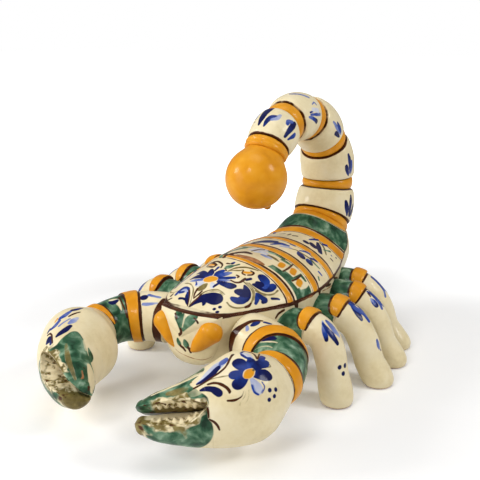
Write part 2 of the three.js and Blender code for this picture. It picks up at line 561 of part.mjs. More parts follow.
for (const [hand, side] of [["left", -1], ["right", 1]]) {
  const armPath = new THREE.CubicBezierCurve3(
    vector(SHOULDER, side), vector(ARM_AIM, side), vector(ELBOW_AIM, side), vector(WRIST, side));
  const wristRun = vector(WRIST, side).sub(vector(ELBOW_AIM, side)).normalize();
  const palmAim = vector(WRIST, side).addScaledVector(wristRun, PALM_REACH);
  const clawPath = new THREE.CubicBezierCurve3(
    vector(WRIST, side), palmAim, vector(FINGER_AIM, side), vector(CLAW_TIP, side));
  const halfSeam = SEAM / 2 / armPath.getLength();

  const armBlank = armTube(armPath, 0, 1, SEAM, 0);
  const upperArm = armTube(armPath, 0, ARM_RING_T - halfSeam, 0, ARM_BORE_RADIUS);
  const forearm = armTube(armPath, ARM_RING_T + halfSeam, 1 - halfSeam, 0, ARM_BORE_RADIUS);

  // The wrist's outline, from the end of the forearm into the palm, for the band that hides the joint.
  const clawFrame = (t) => frameOn(clawPath, t, Z_AXIS);
  const wristRings = [0.85, 0.93, 1].map((t) =>
    ringOn(frameOn(armPath, t, Z_AXIS), armRadius(t) + SEAM, ARM_SIDES),
  );
  const palmRings = [0.05, 0.1, 0.15].map((t) => ringOn(clawFrame(t), clawRadius(t) + SEAM, ARM_SIDES));
  const wristForm = solid(loft([...wristRings, ...palmRings]));

  // The claw before it is opened: an egg that tapers into the fingers along a bent line.
  const clawLength = clawPath.getLength();
  const clawRing = (t) => ringOn(clawFrame(t), clawRadius(t), ARM_SIDES, PALM_FLATTEN);
  const clawEnd = clawFrame(1 + (0.6 * CLAW_TIP_RADIUS) / clawLength).point;
  const clawSeam = SEAM / 2 / clawLength;
  const claw = solid(loft(range(CLAW_STEPS, clawSeam, 1).map(clawRing), { endTip: clawEnd }));

  // The palm's hollow narrows to the arm's bore at the wrist.
  const hollowPlaces = [-clawSeam, 0.06, 0.14, 0.24, 0.36, 0.46, MOUTH_T - WALL / clawLength];
  const hollowRings = hollowPlaces.map((t) => {
    const radius = t < 0.06 ? ARM_BORE_RADIUS : Math.max(ARM_BORE_RADIUS, clawRadius(t) - WALL);
    return ringOn(clawFrame(t), radius, BORE_SIDES, PALM_FLATTEN);
  });
  const hollow = solid(loft(hollowRings));

  // The mouth opens along the claw's line, and the lower finger is what lies under it.
  const jaw = (t) => {
    const frame = clawFrame(t);
    const up = frame.first.clone().applyAxisAngle(frame.along, side * radians(MOUTH_TILT));
    const across = new THREE.Vector3().crossVectors(frame.along, up);
    return { point: frame.point, up, across, out: across.clone().multiplyScalar(-side) };
  };
  const halfGap = (t) => THREE.MathUtils.mapLinear(t, MOUTH_T, 1, MOUTH_CORNER_GAP, MOUTH_TIP_GAP) / 2;
  const slab = (from, high, bevel) => {
    const wide = 2 * PALM_RADIUS;
    const rings = range(7, from, 1.2).map((t) => {
      const { point, up, across } = jaw(t);
      const corner = (x, z) => point.clone().addScaledVector(across, x).addScaledVector(up, z);
      const lip = (outer) => corner(outer * wide, high(t) + (outer === -side ? bevel * wide : 0));
      return [lip(-1), corner(0, high(t)), lip(1), corner(wide, -2 * wide), corner(-wide, -2 * wide)];
    });
    return solid(loft(rings));
  };
  const opening = slab(MOUTH_T - SEAM / clawLength, halfGap, MOUTH_BEVEL);
  const under = slab(MOUTH_T, (t) => -halfGap(t), -MOUTH_BEVEL);

  // Teeth stand in a row along the outer lip of each finger.
  const teeth = (sign) =>
    range(TEETH_PER_FINGER - 1, MOUTH_T + 0.06, 0.9).map((t) => {
      const { point, up, out } = jaw(t);
      const radius = Math.min(TOOTH_RADIUS, 0.2 * clawRadius(t));
      const edge = 0.52 * clawRadius(t);
      const sink = sign * (halfGap(t) + MOUTH_BEVEL * edge + radius - TOOTH_PROUD);
      const seat = point.clone().addScaledVector(up, sink).addScaledVector(out, edge);
      return placed(new THREE.IcosahedronGeometry(radius, 0), new THREE.Matrix4().setPosition(seat));
    });
  const withTeeth = (form, sign) => teeth(sign).reduce((made, tooth) => made.add(tooth), form);
  const palm = withTeeth(claw.subtract(opening).subtract(hollow), 1);
  const finger = withTeeth(claw.intersect(under), -1);

  const ringFrame = frameOn(armPath, ARM_RING_T, Z_AXIS);
  const wristFrame = frameOn(armPath, 1, Z_AXIS);
  const armBand = bandOn(ringFrame, UPPER_ARM_RADIUS + ARM_RING_PROUD, ARM_RING_WIDTH, ARM_SIDES);
  const wristBand = bandOn(wristFrame, WRIST_RADIUS + 2 * ARM_RING_PROUD, WRIST_RING_WIDTH, ARM_SIDES);
  piece(`upper_arm_${hand}`, upperArm.subtract(bodyCutter), CREAM);
  piece(`arm_band_${hand}`, armBand.subtract(armBlank).subtract(bodyCutter), OCHRE);
  piece(`forearm_${hand}`, forearm, GREEN);
  piece(`wrist_band_${hand}`, wristBand.subtract(wristForm), OCHRE);
  piece(`claw_palm_${hand}`, palm, CREAM);
  piece(`claw_finger_${hand}`, finger, GREEN);
}

// The origin is on the ground under the middle of the ornament.
const box = new THREE.Box3().setFromObject(scorpion);
scorpion.position.set(0, -(box.min.y + box.max.y) / 2, -box.min.z);

export default scorpion;
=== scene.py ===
# %% [markdown]
# # A hand-painted earthenware scorpion
# The ornament is built by hand from moulded shells, stacked beads and rolled clay. It is dipped in a cream
# tin glaze, painted in ochre, green, blue and brown, and fired again until the paint sinks into the glaze.
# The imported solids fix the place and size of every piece, so the script starts by loading them as its frame.

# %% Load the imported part
import itertools

import bpy
import numpy as np
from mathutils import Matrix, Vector


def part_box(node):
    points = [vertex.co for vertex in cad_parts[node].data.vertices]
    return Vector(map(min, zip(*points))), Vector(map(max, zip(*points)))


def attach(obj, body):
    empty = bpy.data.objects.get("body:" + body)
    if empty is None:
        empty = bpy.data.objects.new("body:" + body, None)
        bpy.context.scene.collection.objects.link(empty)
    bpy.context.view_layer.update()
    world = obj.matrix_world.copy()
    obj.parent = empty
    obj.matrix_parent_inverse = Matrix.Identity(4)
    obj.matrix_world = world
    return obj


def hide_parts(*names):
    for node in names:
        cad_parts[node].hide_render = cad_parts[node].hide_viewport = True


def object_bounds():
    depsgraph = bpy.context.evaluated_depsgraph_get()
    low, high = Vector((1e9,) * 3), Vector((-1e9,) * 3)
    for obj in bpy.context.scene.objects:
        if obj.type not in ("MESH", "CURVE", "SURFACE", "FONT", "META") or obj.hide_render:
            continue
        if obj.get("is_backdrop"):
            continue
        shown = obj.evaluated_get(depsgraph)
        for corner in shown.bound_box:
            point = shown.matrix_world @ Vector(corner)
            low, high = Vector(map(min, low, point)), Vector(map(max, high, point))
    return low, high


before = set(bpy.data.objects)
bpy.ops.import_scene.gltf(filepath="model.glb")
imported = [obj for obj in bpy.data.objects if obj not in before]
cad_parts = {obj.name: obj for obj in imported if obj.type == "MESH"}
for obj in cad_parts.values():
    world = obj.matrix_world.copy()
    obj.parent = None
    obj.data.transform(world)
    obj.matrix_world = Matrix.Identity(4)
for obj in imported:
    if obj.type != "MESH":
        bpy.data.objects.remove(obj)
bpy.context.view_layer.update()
FRONT_Y = -15.0  # front edge of the back, in the potter's own measure of millimetres
SHIFT_Y = 1000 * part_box("carapace_shield")[0].y - FRONT_Y
print("solids:", len(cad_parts), "- potter's measure moved along y by", round(SHIFT_Y, 2), "mm")

# %% [markdown]
# ## Curves, lines and hand-made unevenness
# A potter judges a form at a few places and draws the rest through them by eye. The same is done here: a
# smooth curve runs through a few stations, and a limb is a ring that travels along a bent line.
# No hand-pressed wall is even, so every form also takes a slight swell from a field of soft lumps.
# Sculpting would give such forms too, but a formula can be measured against the solids.

# %% Curves, lines and lumps
X, Y, Z = np.eye(3)
HASH, HASH_SIZE, SEED_STEP = np.array([127.1, 311.7, 74.7]), 43758.5453, 19.7


def smooth_curve(places, values):
    """A value through stations: cubic spans, each with the slope that the neighbours on both sides give."""
    x, y = np.array(places, float), np.array(values, float)
    i = np.arange(len(x))
    before, after = np.maximum(i - 1, 0), np.minimum(i + 1, len(x) - 1)
    slope = (y[after] - y[before]) / (x[after] - x[before])

    def at(place):
        place = np.clip(place, x[0], x[-1])
        k = np.clip(np.searchsorted(x, place, side="right") - 1, 0, len(x) - 2)
        span = x[k + 1] - x[k]
        u = (place - x[k]) / span
        ends = y[k] * (2 * u**3 - 3 * u**2 + 1) + y[k + 1] * (3 * u**2 - 2 * u**3)
        return ends + span * (slope[k] * (u**3 - 2 * u**2 + u) + slope[k + 1] * (u**3 - u**2))

    return at


def unit(v):
    """A vector divided by its length."""
    return v / np.linalg.norm(v, axis=-1, keepdims=True)


def lumps(points, size, seed=0):
    """Soft random swell from -1 to 1: random values at the corners of cubes, blended smoothly within. The
    fraction of a large sine serves as the random value, so every run gives the same."""
    place = points / size + SEED_STEP * seed
    cell = np.floor(place)
    f = place - cell
    f = f * f * (3 - 2 * f)
    total = np.zeros(points.shape[:-1])
    for corner in itertools.product((0.0, 1.0), repeat=3):
        wave = np.sin((cell + corner) @ HASH) * HASH_SIZE
        weight = np.where(np.array(corner) > 0, f, 1 - f).prod(axis=-1)
        total += weight * (2 * (wave - np.floor(wave)) - 1)
    return total


class Line:
    """A bent line, as a cubic through four aims, with a first and a second cross axis at every place."""

    def __init__(self, aims, reference):
        self.aims, self.reference, self.length = np.array(aims, float), reference, 0.0
        self.length = np.linalg.norm(np.diff(self.at(np.linspace(0, 1, 201))[0], axis=0), axis=1).sum()

    def at(self, t):
        """The point, the direction and the two cross axes; past an end the line runs straight on."""
        t = np.asarray(t, float)[..., None]
        k = np.clip(t, 0, 1)
        a, b, c, d = self.aims
        point = (1 - k) ** 3 * a + 3 * (1 - k) ** 2 * k * b + 3 * (1 - k) * k**2 * c + k**3 * d
        along = unit((1 - k) ** 2 * (b - a) + 2 * (1 - k) * k * (c - b) + k**2 * (d - c))
        first = unit(self.reference - (along @ self.reference)[..., None] * along)
        return point + (t - k) * self.length * along, along, first, np.cross(along, first)

    def ring(self, t, angle, radius):
        """Points round the line: radius times cosine on the first axis and sine on the second."""
        t, angle, radius = np.broadcast_arrays(np.asarray(t, float), np.radians(angle), radius)
        point, _, first, second = self.at(t)
        up, side = radius * np.cos(angle), radius * np.sin(angle)
        return point + up[..., None] * first + side[..., None] * second


print("lumps at three places:", lumps(np.array([[0, 0, 0], [9, 4, 2], [31, 8, 5.0]]), 12).round(2))

# %% [markdown]
# ## The body
# The body is pressed in two moulds, a back and a belly, that meet at a crease along the sides. Their line
# runs level and then rises into the arc of the tail. Each section has an arched back over a fuller belly,
# four low ridges cross the back where the bands are painted, and a shallow dome closes the front. A box
# could be pulled into this shape under Subdivision Surface; a section carried along a line is chosen,
# because its crease and ridges stay where they were measured.

# %% Surfaces of the body
LEVEL, SPINE_Z, ARC = 134.0, 62.5, 56.0  # level run of the spine, its height, radius of the tail's arc
NOSE, FACE_Z = 12.0, 47.5  # how far the face domes ahead, and the height of its middle
ARCH_POWER, WALL_POWER, KEEL_POWER = 1.45, 0.75, 0.9  # the sections' fullness on the back and the belly


def on_arc(degrees):
    """The distance along the spine at a rise on the arc: the angle in radians times the radius."""
    return LEVEL + np.radians(degrees) * ARC


def spine(d):
    """The spine's point and inward axis at a distance behind the front edge: straight, then on the arc."""
    rise = np.maximum(0, np.asarray(d, float) - LEVEL) / ARC
    none = np.zeros_like(rise)
    up = np.stack([none, -np.sin(rise), np.cos(rise)], -1)
    level = np.stack([none, FRONT_Y + np.minimum(d, LEVEL), none + SPINE_Z + ARC], -1)
    return level - ARC * up, up


TAIL_SEAT = 48.5  # degrees up the arc where the body ends and the first coil lies
STATIONS = np.array([  # distance, half width, arch of the back, depth of the belly
    (0, 23.5, 1.5, 38), (23, 37, 15.5, 42), (46.5, 49.2, 22.6, 43), (76, 51.5, 23.4, 43),
    (108, 47.5, 22.4, 41), (134, 40.5, 21.6, 37), (on_arc(20), 34.5, 25, 31),
    (on_arc(36), 31.5, 27, 28), (on_arc(TAIL_SEAT), 25, 23.5, 23.5)])
half_at, arch_at, belly_at = (smooth_curve(STATIONS[:, 0], STATIONS[:, k]) for k in (1, 2, 3))
BODY_END = on_arc(TAIL_SEAT)
SHIELD_END = 46.5
BANDS = np.array([  # front and rear of each ridge at the crease, and how far each bows back at the crown
    (41.3, 5.5, 46.7, 4.2), (69.8, 8.6, 77.2, 8.7), (101.3, 5.4, 110.6, 3.2), (147, -10.5, 156.3, -9.3)])
FRONT_BOW = 6.6  # how far the front edge of the back bows ahead in the middle
RIDGE, RIDGE_SLOPE = 0.7, 1.5  # a ridge's height, and how far it slopes off past the band
GROOVE_DEEP, GROOVE_BEHIND, GROOVE_WIDE = 0.2, 1.6, 1.3  # the groove behind each band


def front_edge(angle):
    """The front edge of the back, bowed ahead by the squared cosine of the angle."""
    return -FRONT_BOW * np.maximum(np.cos(np.radians(angle)), 0) ** 2


def band_edges(angle):
    """Front and rear of the four ridges, on a last axis: each edge bows back by the cosine of the angle."""
    bow = np.maximum(np.cos(np.radians(angle)), 0)[..., None]
    return BANDS[:, 0] + BANDS[:, 1] * bow, BANDS[:, 2] + BANDS[:, 3] * bow


def ridge_at(d, angle):
    """A cosine ridge under each band, and a shallow bell-shaped groove behind it."""
    front, rear = band_edges(angle)
    off = np.abs(d[..., None] - (front + rear) / 2) / ((rear - front) / 2 + RIDGE_SLOPE)
    groove = np.exp(-(((d[..., None] - rear - GROOVE_BEHIND) / GROOVE_WIDE) ** 2))
    return (RIDGE / 2 * (1 + np.cos(np.pi * np.minimum(off, 1))) - GROOVE_DEEP * groove).sum(axis=-1)


SUNK = smooth_curve((0, 12, 23, 35, 46.5, 60, 76, 92, 108, 121, 134),
                    (0, 0, 0.38, 0.86, 1.15, 1.07, 0.88, 0.52, 0.32, 0.05, 0))
SUNK_IN, SUNK_DOWN = 5.0, 4.0  # millimetres in and down where the curve is at 1
SUNK_FROM, SUNK_RUN = 0.12, 0.6  # sine of the angle where the left flank starts to sink, and over how much


def sunk_flank(d, side):
    """How far the left flank was pressed in and down by hand: a curve over the distance times a smooth step
    over the sine of the angle."""
    k = np.clip((-side - SUNK_FROM) / SUNK_RUN, 0, 1)
    return SUNK(d) * k**2 * (3 - 2 * k)


def back(d, angle, swell=0.0):
    """The back: sine of the angle across, a power of its cosine up, so it meets the crease at a slope."""
    d, angle = np.broadcast_arrays(np.asarray(d, float), np.asarray(angle, float))
    point, up = spine(d)
    grow = ridge_at(d, angle) + swell
    angle = np.radians(angle)
    across = (half_at(d) + grow) * np.sin(angle)
    high = (arch_at(d) + grow) * np.maximum(np.cos(angle), 0) ** ARCH_POWER
    sunk = sunk_flank(d, np.sin(angle))
    return point + (across + SUNK_IN * sunk)[..., None] * X + (high - SUNK_DOWN * sunk)[..., None] * up


def belly(d, angle, swell=0.0):
    """The belly, from 90 to 270 degrees: powers below 1 make its walls fuller than an ellipse."""
    d, angle = np.broadcast_arrays(np.asarray(d, float), np.radians(angle))
    point, up = spine(d)
    side = np.sin(angle)
    across = (half_at(d) + swell) * np.sign(side) * np.abs(side) ** WALL_POWER
    deep = (belly_at(d) + swell) * np.maximum(-np.cos(angle), 0) ** KEEL_POWER
    sunk = sunk_flank(d, side)
    return point + (across + SUNK_IN * sunk)[..., None] * X - (deep + SUNK_DOWN * sunk)[..., None] * up


def face(lean, angle, swell=0.0):
    """The dome before the front edge: the front section shrinks by a cosine as a sine carries it ahead."""
    lean, angle = np.broadcast_arrays(np.radians(lean), np.mod(np.asarray(angle, float), 360))
    over = (angle < 90) | (angle > 270)
    round_top = np.where(angle > 180, angle - 360, angle)
    top = back(front_edge(round_top), round_top, swell)
    front = np.where(over[..., None], top, belly(0.0, angle, swell))
    middle = np.array([0, FRONT_Y, FACE_Z])
    ahead = (NOSE + swell) * np.sin(lean)
    return middle + (front - middle) * np.cos(lean)[..., None] - ahead[..., None] * Y


print("body sections from", back(0.0, 0.0).round(1), "to", back(BODY_END, 0.0).round(1))

# %% [markdown]
# ## The tail
# The tail is a row of hollow beads on one arc, each drawn in at its rims, with a coil of clay pressed into
# the groove between two beads. A rounded collar ends the row, and a thrown ball with a small sting sits on
# top of it. Each bead could be spun by itself, but rings along one arc share its bend and its taper.

# %% Surfaces of the tail
BEAD_ENDS = np.cumsum([52, 35.5, 39.5, 38.5, 34, 26.5])  # degrees up the arc
COIL, SEAM, GROOVE = 8.0, 0.3, 3.2  # degrees that a coil takes up, the gap between pieces, a groove's depth
RIM, SWELL = 1.6, 1.2  # how far a bead's rims are rounded, and how far its middle stands out
LAST_BEAD, BEAD_TAPER, TAPER_POWER = 16.5, 8.0, 1.6  # the last bead's radius, and what the first has more
COLLAR = 7.0  # length along the arc
BULB, BULB_NECK, BULB_LIFT, STING = 22.0, 13.6, 1.5, 8.0  # radii of the ball and its neck, lift, sting


def degrees_of(length):
    """The rise on the arc that a length takes up."""
    return np.degrees(length / ARC)


def bead_radius(rise):
    """The beads' radius at a rise: it shrinks by a power of the share of the row that is left."""
    left = np.clip((BEAD_ENDS[-1] - rise) / (BEAD_ENDS[-1] - BEAD_ENDS[0]), 0, 1)
    return LAST_BEAD + BEAD_TAPER * left**TAPER_POWER


def tail(rise, angle, radius):
    """A ring square to the arc at a rise in degrees; angle 0 faces the arc's middle and 90 faces +X."""
    rise, angle, radius = np.broadcast_arrays(np.asarray(rise, float), np.radians(angle), radius)
    point, up = spine(on_arc(rise))
    return point + (radius * np.cos(angle))[..., None] * up + (radius * np.sin(angle))[..., None] * X


COLLAR_END = BEAD_ENDS[-1] + degrees_of(COLLAR)
bulb_seat, bulb_up = spine(on_arc(COLLAR_END + degrees_of(SEAM)))
bulb_along = np.cross(bulb_up, X)
bulb_middle = bulb_seat + (np.sqrt(BULB**2 - BULB_NECK**2) + BULB_LIFT) * bulb_along


def bulb(lean, angle, swell=0.0):
    """The ball, lean degrees from its neck's end of the axis: the cosine along it, the sine away from it."""
    lean, angle = np.broadcast_arrays(np.radians(lean), np.radians(angle))
    radius = (BULB + swell) * np.sin(lean)
    run = -(BULB + swell) * np.cos(lean)
    spread = np.cos(angle)[..., None] * bulb_up + np.sin(angle)[..., None] * X
    return bulb_middle + run[..., None] * bulb_along + radius[..., None] * spread


print("ball's middle at", bulb_middle.round(1), "mm, top of the tail at", tail(180.0, 180.0, 20.0).round(1))

# %% [markdown]
# ## Legs, arms and claws
# Each leg is a roll of clay bent at the knee, with a toe that turns out and a sole pressed flat. The arm is
# a tube along a bent line. The claw is an egg that tapers along its own bent line; a slanting cut with
# bevelled lips opens its mouth, and a row of small teeth stands on each bevel. A Boolean modifier could
# cut the mouth. Instead, the half of each ring beyond the cut is laid on the lip, which leaves a clean
# grid and also tells the paint where the lips are.

# %% Surfaces of the limbs
LEGS = [  # hip along y, foot in x and y, how far inside and how high the shin starts, toe's turn outwards
    (31, 84, 30, 7.5, 54, 1.4), (67, 92.6, 71.4, 10.1, 45.4, 4.3),
    (101, 87.7, 107.2, 11.5, 44.4, 5.6), (129, 77.8, 138.2, 13.5, 44.1, 6.8)]
leg_radius = smooth_curve(
    (0, 0.28, 0.5, 0.72, 0.82, 0.9, 0.95, 0.98, 1), (12, 11.6, 10.7, 10.6, 10.2, 11, 11, 10.2, 8.8))
HIP_IN, HIP_Z, THIGH, THIGH_Z, FOOT_Z = 12, 46, 26, 52, -1.5  # hip in the flank, thigh's aim, foot
TOE_FROM, TOE_RUN, SOLE_SOFT = 0.83, 0.15, 6.0  # the part of the leg that turns out, the sole's soft edge


def leg_line(hip_y, foot_x, foot_y, inset, shin, toe):
    """A leg's bent line, from inside the body's flank over the knee to the foot."""
    hip_x = float(half_at(hip_y - FRONT_Y))
    line = Line([(hip_x - HIP_IN, hip_y, HIP_Z), (hip_x + THIGH, hip_y, THIGH_Z),
                 (foot_x - inset, foot_y, shin), (foot_x, foot_y, FOOT_Z)], Y)
    line.toe = toe
    return line


leg_lines = [leg_line(*leg) for leg in LEGS]
arm_line = Line([(20, 5, 44), (57, -2, 45), (71, -8, 40.5), (70.5, -29, 38)], Z)
wrist = arm_line.aims[3]
PALM_RUN = 22.0  # how far the claw goes on in the arm's direction
palm_aim = wrist + PALM_RUN * unit(wrist - arm_line.aims[2])
claw_line = Line([wrist, palm_aim, (55, -81, 32), (25.5, -95.5, 29.5)], Z)
arm_radius = smooth_curve((0, 0.42, 0.7, 1), (17.5, 17.5, 16.5, 16))
WRIST_RADIUS, PALM, TIP_RADIUS, PALM_FLAT = 16.0, 26.8, 10.0, 0.95
claw_radius = smooth_curve(
    (0, 0.13, 0.3, 0.48, 0.64, 0.8, 0.93, 1),
    np.array((WRIST_RADIUS / PALM, 0.78, 1, 0.94, 0.79, 0.63, 0.5, TIP_RADIUS / PALM)) * PALM)
MOUTH_T, MOUTH_TILT = 0.635, 35.0  # the mouth's corner along the claw, and how the cut slants
MOUTH_LIFT, LIFT_RUN = 1.9, 0.2  # how far the cut rises above the claw's middle, and over which length
CORNER_GAP, TIP_GAP = 0.2, 0.6  # half the gap between the fingers at the corner, and what the tips add
BEVEL, BEVEL_RUN = {"upper": 0.3, "lower": 0.6}, 0.13  # slopes of the lips, and where they are reached
TEETH, TEETH_FROM, TEETH_TO = 7, MOUTH_T + 0.04, 0.95
TOOTH, TOOTH_AT, TOOTH_WIDE = 1.5, 0.52, 0.17  # a tooth's height, and its place and width by the radius


def leg(line, t, angle, swell=0.0):
    """Rings along the leg's line, moved out at the toe by a smooth step, and pressed flat at the ground,
    where the height bends into nought along a hyperbola."""
    point = line.ring(t, angle, leg_radius(t) + swell)
    toe = np.clip((np.asarray(t, float) - TOE_FROM) / TOE_RUN, 0, 1)
    point[..., 0] += line.toe * toe**2 * (3 - 2 * toe)
    z = point[..., 2]
    point[..., 2] = np.maximum(0.5 * (z + np.sqrt(z**2 + SOLE_SOFT)) - 0.5, 0)
    return point


def arm(t, angle, swell=0.0):
    """Rings along the arm's line."""
    return arm_line.ring(t, angle, arm_radius(t) + swell)


def claw_lip(t, turn, part, radius):
    """The bevelled lip past the mouth's corner: which points of the ring lie beyond the cut, their place
    across the lip, its height over the mouth's middle, the teeth, a row of cosine humps, and how far points
    on the outside lie from the lip's edge."""
    sign = 1 if part == "upper" else -1
    open_share = np.clip((t - MOUTH_T) / (1 - MOUTH_T), 0, 1)
    lift = MOUTH_LIFT * np.clip((t - MOUTH_T) / LIFT_RUN, 0, 1)
    gap = CORNER_GAP + TIP_GAP * open_share**2 + sign * lift
    bevel = BEVEL[part] * np.clip((t - MOUTH_T) / BEVEL_RUN, 0, 1)
    outer = (-gap * bevel + np.sqrt(np.maximum((1 + bevel**2) * radius**2 - gap**2, 0))) / (1 + bevel**2)
    inner = -np.sqrt(np.maximum(radius**2 - gap**2, 0))
    lip_out = np.degrees(np.arctan2(-outer, gap + bevel * np.maximum(outer, 0)))
    lip_in = np.degrees(np.arctan2(-inner, gap))
    own = np.mod(sign * np.where(sign > 0, turn, turn - 180) + 180, 360) - 180  # from the finger's own crown
    beyond = (own > lip_in) | (own < lip_out)
    across = inner + (outer - inner) * np.mod(own - lip_in, 360) / (360 - lip_in + lip_out)
    place = (t - TEETH_FROM) / (TEETH_TO - TEETH_FROM) * TEETH
    hump = np.where((place > 0) & (place < TEETH), 0.5 - 0.5 * np.cos(2 * np.pi * place), 0)
    tooth = hump * np.exp(-(((across / radius - TOOTH_AT) / TOOTH_WIDE) ** 2))
    height = sign * (gap + bevel * np.maximum(across, 0) - TOOTH * tooth)
    return beyond, across, height, tooth * beyond, np.radians(own - lip_out) * radius


def claw(t, turn, part, swell=0.0):
    """The claw in the mouth's own axes, x to the outer lip and y across the mouth: a ring about the line,
    and past the mouth's corner the half of it beyond the cut is laid on the bevelled lip."""
    t, turn = np.broadcast_arrays(np.asarray(t, float), np.mod(np.asarray(turn, float), 360))
    radius = claw_radius(t) + swell
    x, y = -radius * np.sin(np.radians(turn)), radius * np.cos(np.radians(turn))
    if part != "whole":
        beyond, across, height, _, _ = claw_lip(t, turn, part, radius)
        x, y = np.where(beyond, across, x), np.where(beyond, height, y)
    point, _, first, second = claw_line.at(t)
    tilt = np.radians(MOUTH_TILT)
    high, side = y * np.cos(tilt) + x * np.sin(tilt), y * np.sin(tilt) - x * np.cos(tilt)
    return point + high[..., None] * first + (PALM_FLAT * side)[..., None] * second


print("legs", [round(line.length) for line in leg_lines], "mm and claw", round(claw_line.length), "mm long")

# %% [markdown]
# ## From a surface to a piece
# Every piece is one skin over rows and columns of points. Tubes are closed by running the rows back through
# the bore, shells by running the columns back along the inside of the wall, and solid ends by a fan.
# A left-hand piece is the right-hand one mirrored, as a potter makes a pair. Solidify could make the walls
# too, but an inside with few points saves faces.

# %% Skins
pieces = []


def joined(rows, columns, loop_rows):
    """Four corners of every face on the grid, in an order that faces outwards. Columns close round, and rows
    do where they loop."""
    r, c = np.meshgrid(np.arange(rows if loop_rows else rows - 1), np.arange(columns), indexing="ij")
    r2, c2 = (r + 1) % rows, (c + 1) % columns
    corners = [r * columns + c, r * columns + c2, r2 * columns + c2, r2 * columns + c]
    return np.stack(corners, -1).reshape(-1, 4)


def skin(name, node, slot, grid, paint=None, tips=(None, None), loop_rows=False, caps=False, mirror=False):
    """A mesh over a grid whose columns close round. Fans to the tips or flat caps close its ends, and it
    takes the place of a solid in the frame."""
    rows, columns = grid.shape[:2]
    points = grid.reshape(-1, 3)
    faces = [joined(rows, columns, loop_rows)]
    around = np.arange(columns)
    following = (around + 1) % columns
    for tip, start, order in zip(tips, (0, (rows - 1) * columns), ((1, 0), (0, 1))):
        if tip is not None:
            pair = np.stack([start + around, start + following])[list(order)]
            faces.append(np.stack([np.full(columns, len(points)), *pair], -1))
            points = np.vstack([points, tip])
    ends = [around[::-1], (rows - 1) * columns + around] if caps else []
    points = points * ((-1, 1, 1) if mirror else (1, 1, 1))
    flat = [f[:, ::-1] if mirror else f for f in faces] + [e[::-1] if mirror else e for e in ends]
    sizes = np.concatenate([np.full(len(f), f.shape[1]) if f.ndim == 2 else [len(f)] for f in flat])
    corners = np.concatenate([f.ravel() for f in flat])
    mesh = bpy.data.meshes.new(name)
    mesh.vertices.add(len(points))
    mesh.vertices.foreach_set("co", ((points + (0, SHIFT_Y, 0)) * 0.001).astype(np.float32).ravel())
    mesh.loops.add(len(corners))
    mesh.loops.foreach_set("vertex_index", corners.astype(np.int32))
    mesh.polygons.add(len(sizes))
    mesh.polygons.foreach_set("loop_start", (np.cumsum(sizes) - sizes).astype(np.int32))
    mesh.polygons.foreach_set("use_smooth", sizes <= 4)
    mesh.update(calc_edges=True)
    for colour, depth in (paint.layers(len(points)) if paint else {}).items():
        mesh.attributes.new(colour, "FLOAT", "POINT").data.foreach_set("value", depth)
    piece = bpy.data.objects.new(name, mesh)
    bpy.context.scene.collection.objects.link(piece)
    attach(piece, "root")
    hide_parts(node)
    mesh.materials.append(glazes[slot])
    pieces.append(piece)
    return piece


def walled(outside, inside):
    """A shell's sections as loops: the outside, then the inside in the other direction."""
    return np.concatenate([outside, inside[:, ::-1]], axis=1)


def grid_of(rows, columns):
    """Row and column values shaped so that sums of the two span a grid."""
    return np.asarray(rows, float)[:, None], np.asarray(columns, float)[None, :]


TURN = np.arange(0, 360, 2.0)
print("a full round is drawn with", len(TURN), "points, or more where a piece is finely painted")

# %% [markdown]
# ## Brushwork
# The decorator works freehand with a loaded brush: a leaf is one press and lift, a stem one thin pull. Each
# stroke is a line on the surface whose width swells and fades, and what is kept for every vertex is how deep
# it lies inside the nearest stroke of each colour, in millimetres. The glaze then turns that depth into
# paint with a soft edge. A second number keeps how much blue the brush still held, because a wet stroke
# starts dark and runs out pale. A painted image could be wrapped round each piece, but depths on the
# vertices need no map and no seam.

# %% Strokes
COLOURS = ("cream", "yellow", "olive", "green", "blue", "brown", "clay")
WIPES = {"yellow": "blue", "cream": "green"}
FAR, BLEED = 4.0, 0.2  # how far from a stroke its depth is kept, and how far paint runs past its edge
BARE, BARE_LEAST = 0.45, 0.26  # the depth of green left at the edge of a bare stroke, and within it
WIPED = 0.3  # a stroke over another colour wipes it out past this depth
FIRST_LOAD = 0.7  # where no blue stroke comes near


def through(places, count):
    """A smooth line through places on a surface, evenly spread by number."""
    places = np.array(places, float)
    if len(places) == 1:
        places = np.vstack([places, places + 1e-3])
    steps = np.arange(len(places))
    fine = np.linspace(0, len(places) - 1, count)
    return [smooth_curve(steps, places[:, k])(fine) for k in range(places.shape[1])]


def depth_in(points, line, radius):
    """Depth inside a tapering line: its radius less the distance to it, and the share of the way along."""
    low, high = line.min(axis=0) - radius.max() - FAR, line.max(axis=0) + radius.max() + FAR
    near = np.flatnonzero(((points > low) & (points < high)).all(axis=1))
    start, run = line[:-1], np.diff(line, axis=0)
    p = points[near][:, None] - start
    k = np.clip((p * run).sum(-1) / np.maximum((run**2).sum(-1), 1e-9), 0, 1)
    inside = radius[:-1] + np.diff(radius) * k - np.linalg.norm(p - k[..., None] * run, axis=-1)
    best = inside.argmax(axis=1)
    rows = np.arange(len(near))
    return near, inside[rows, best], (best + k[rows, best]) / len(run)


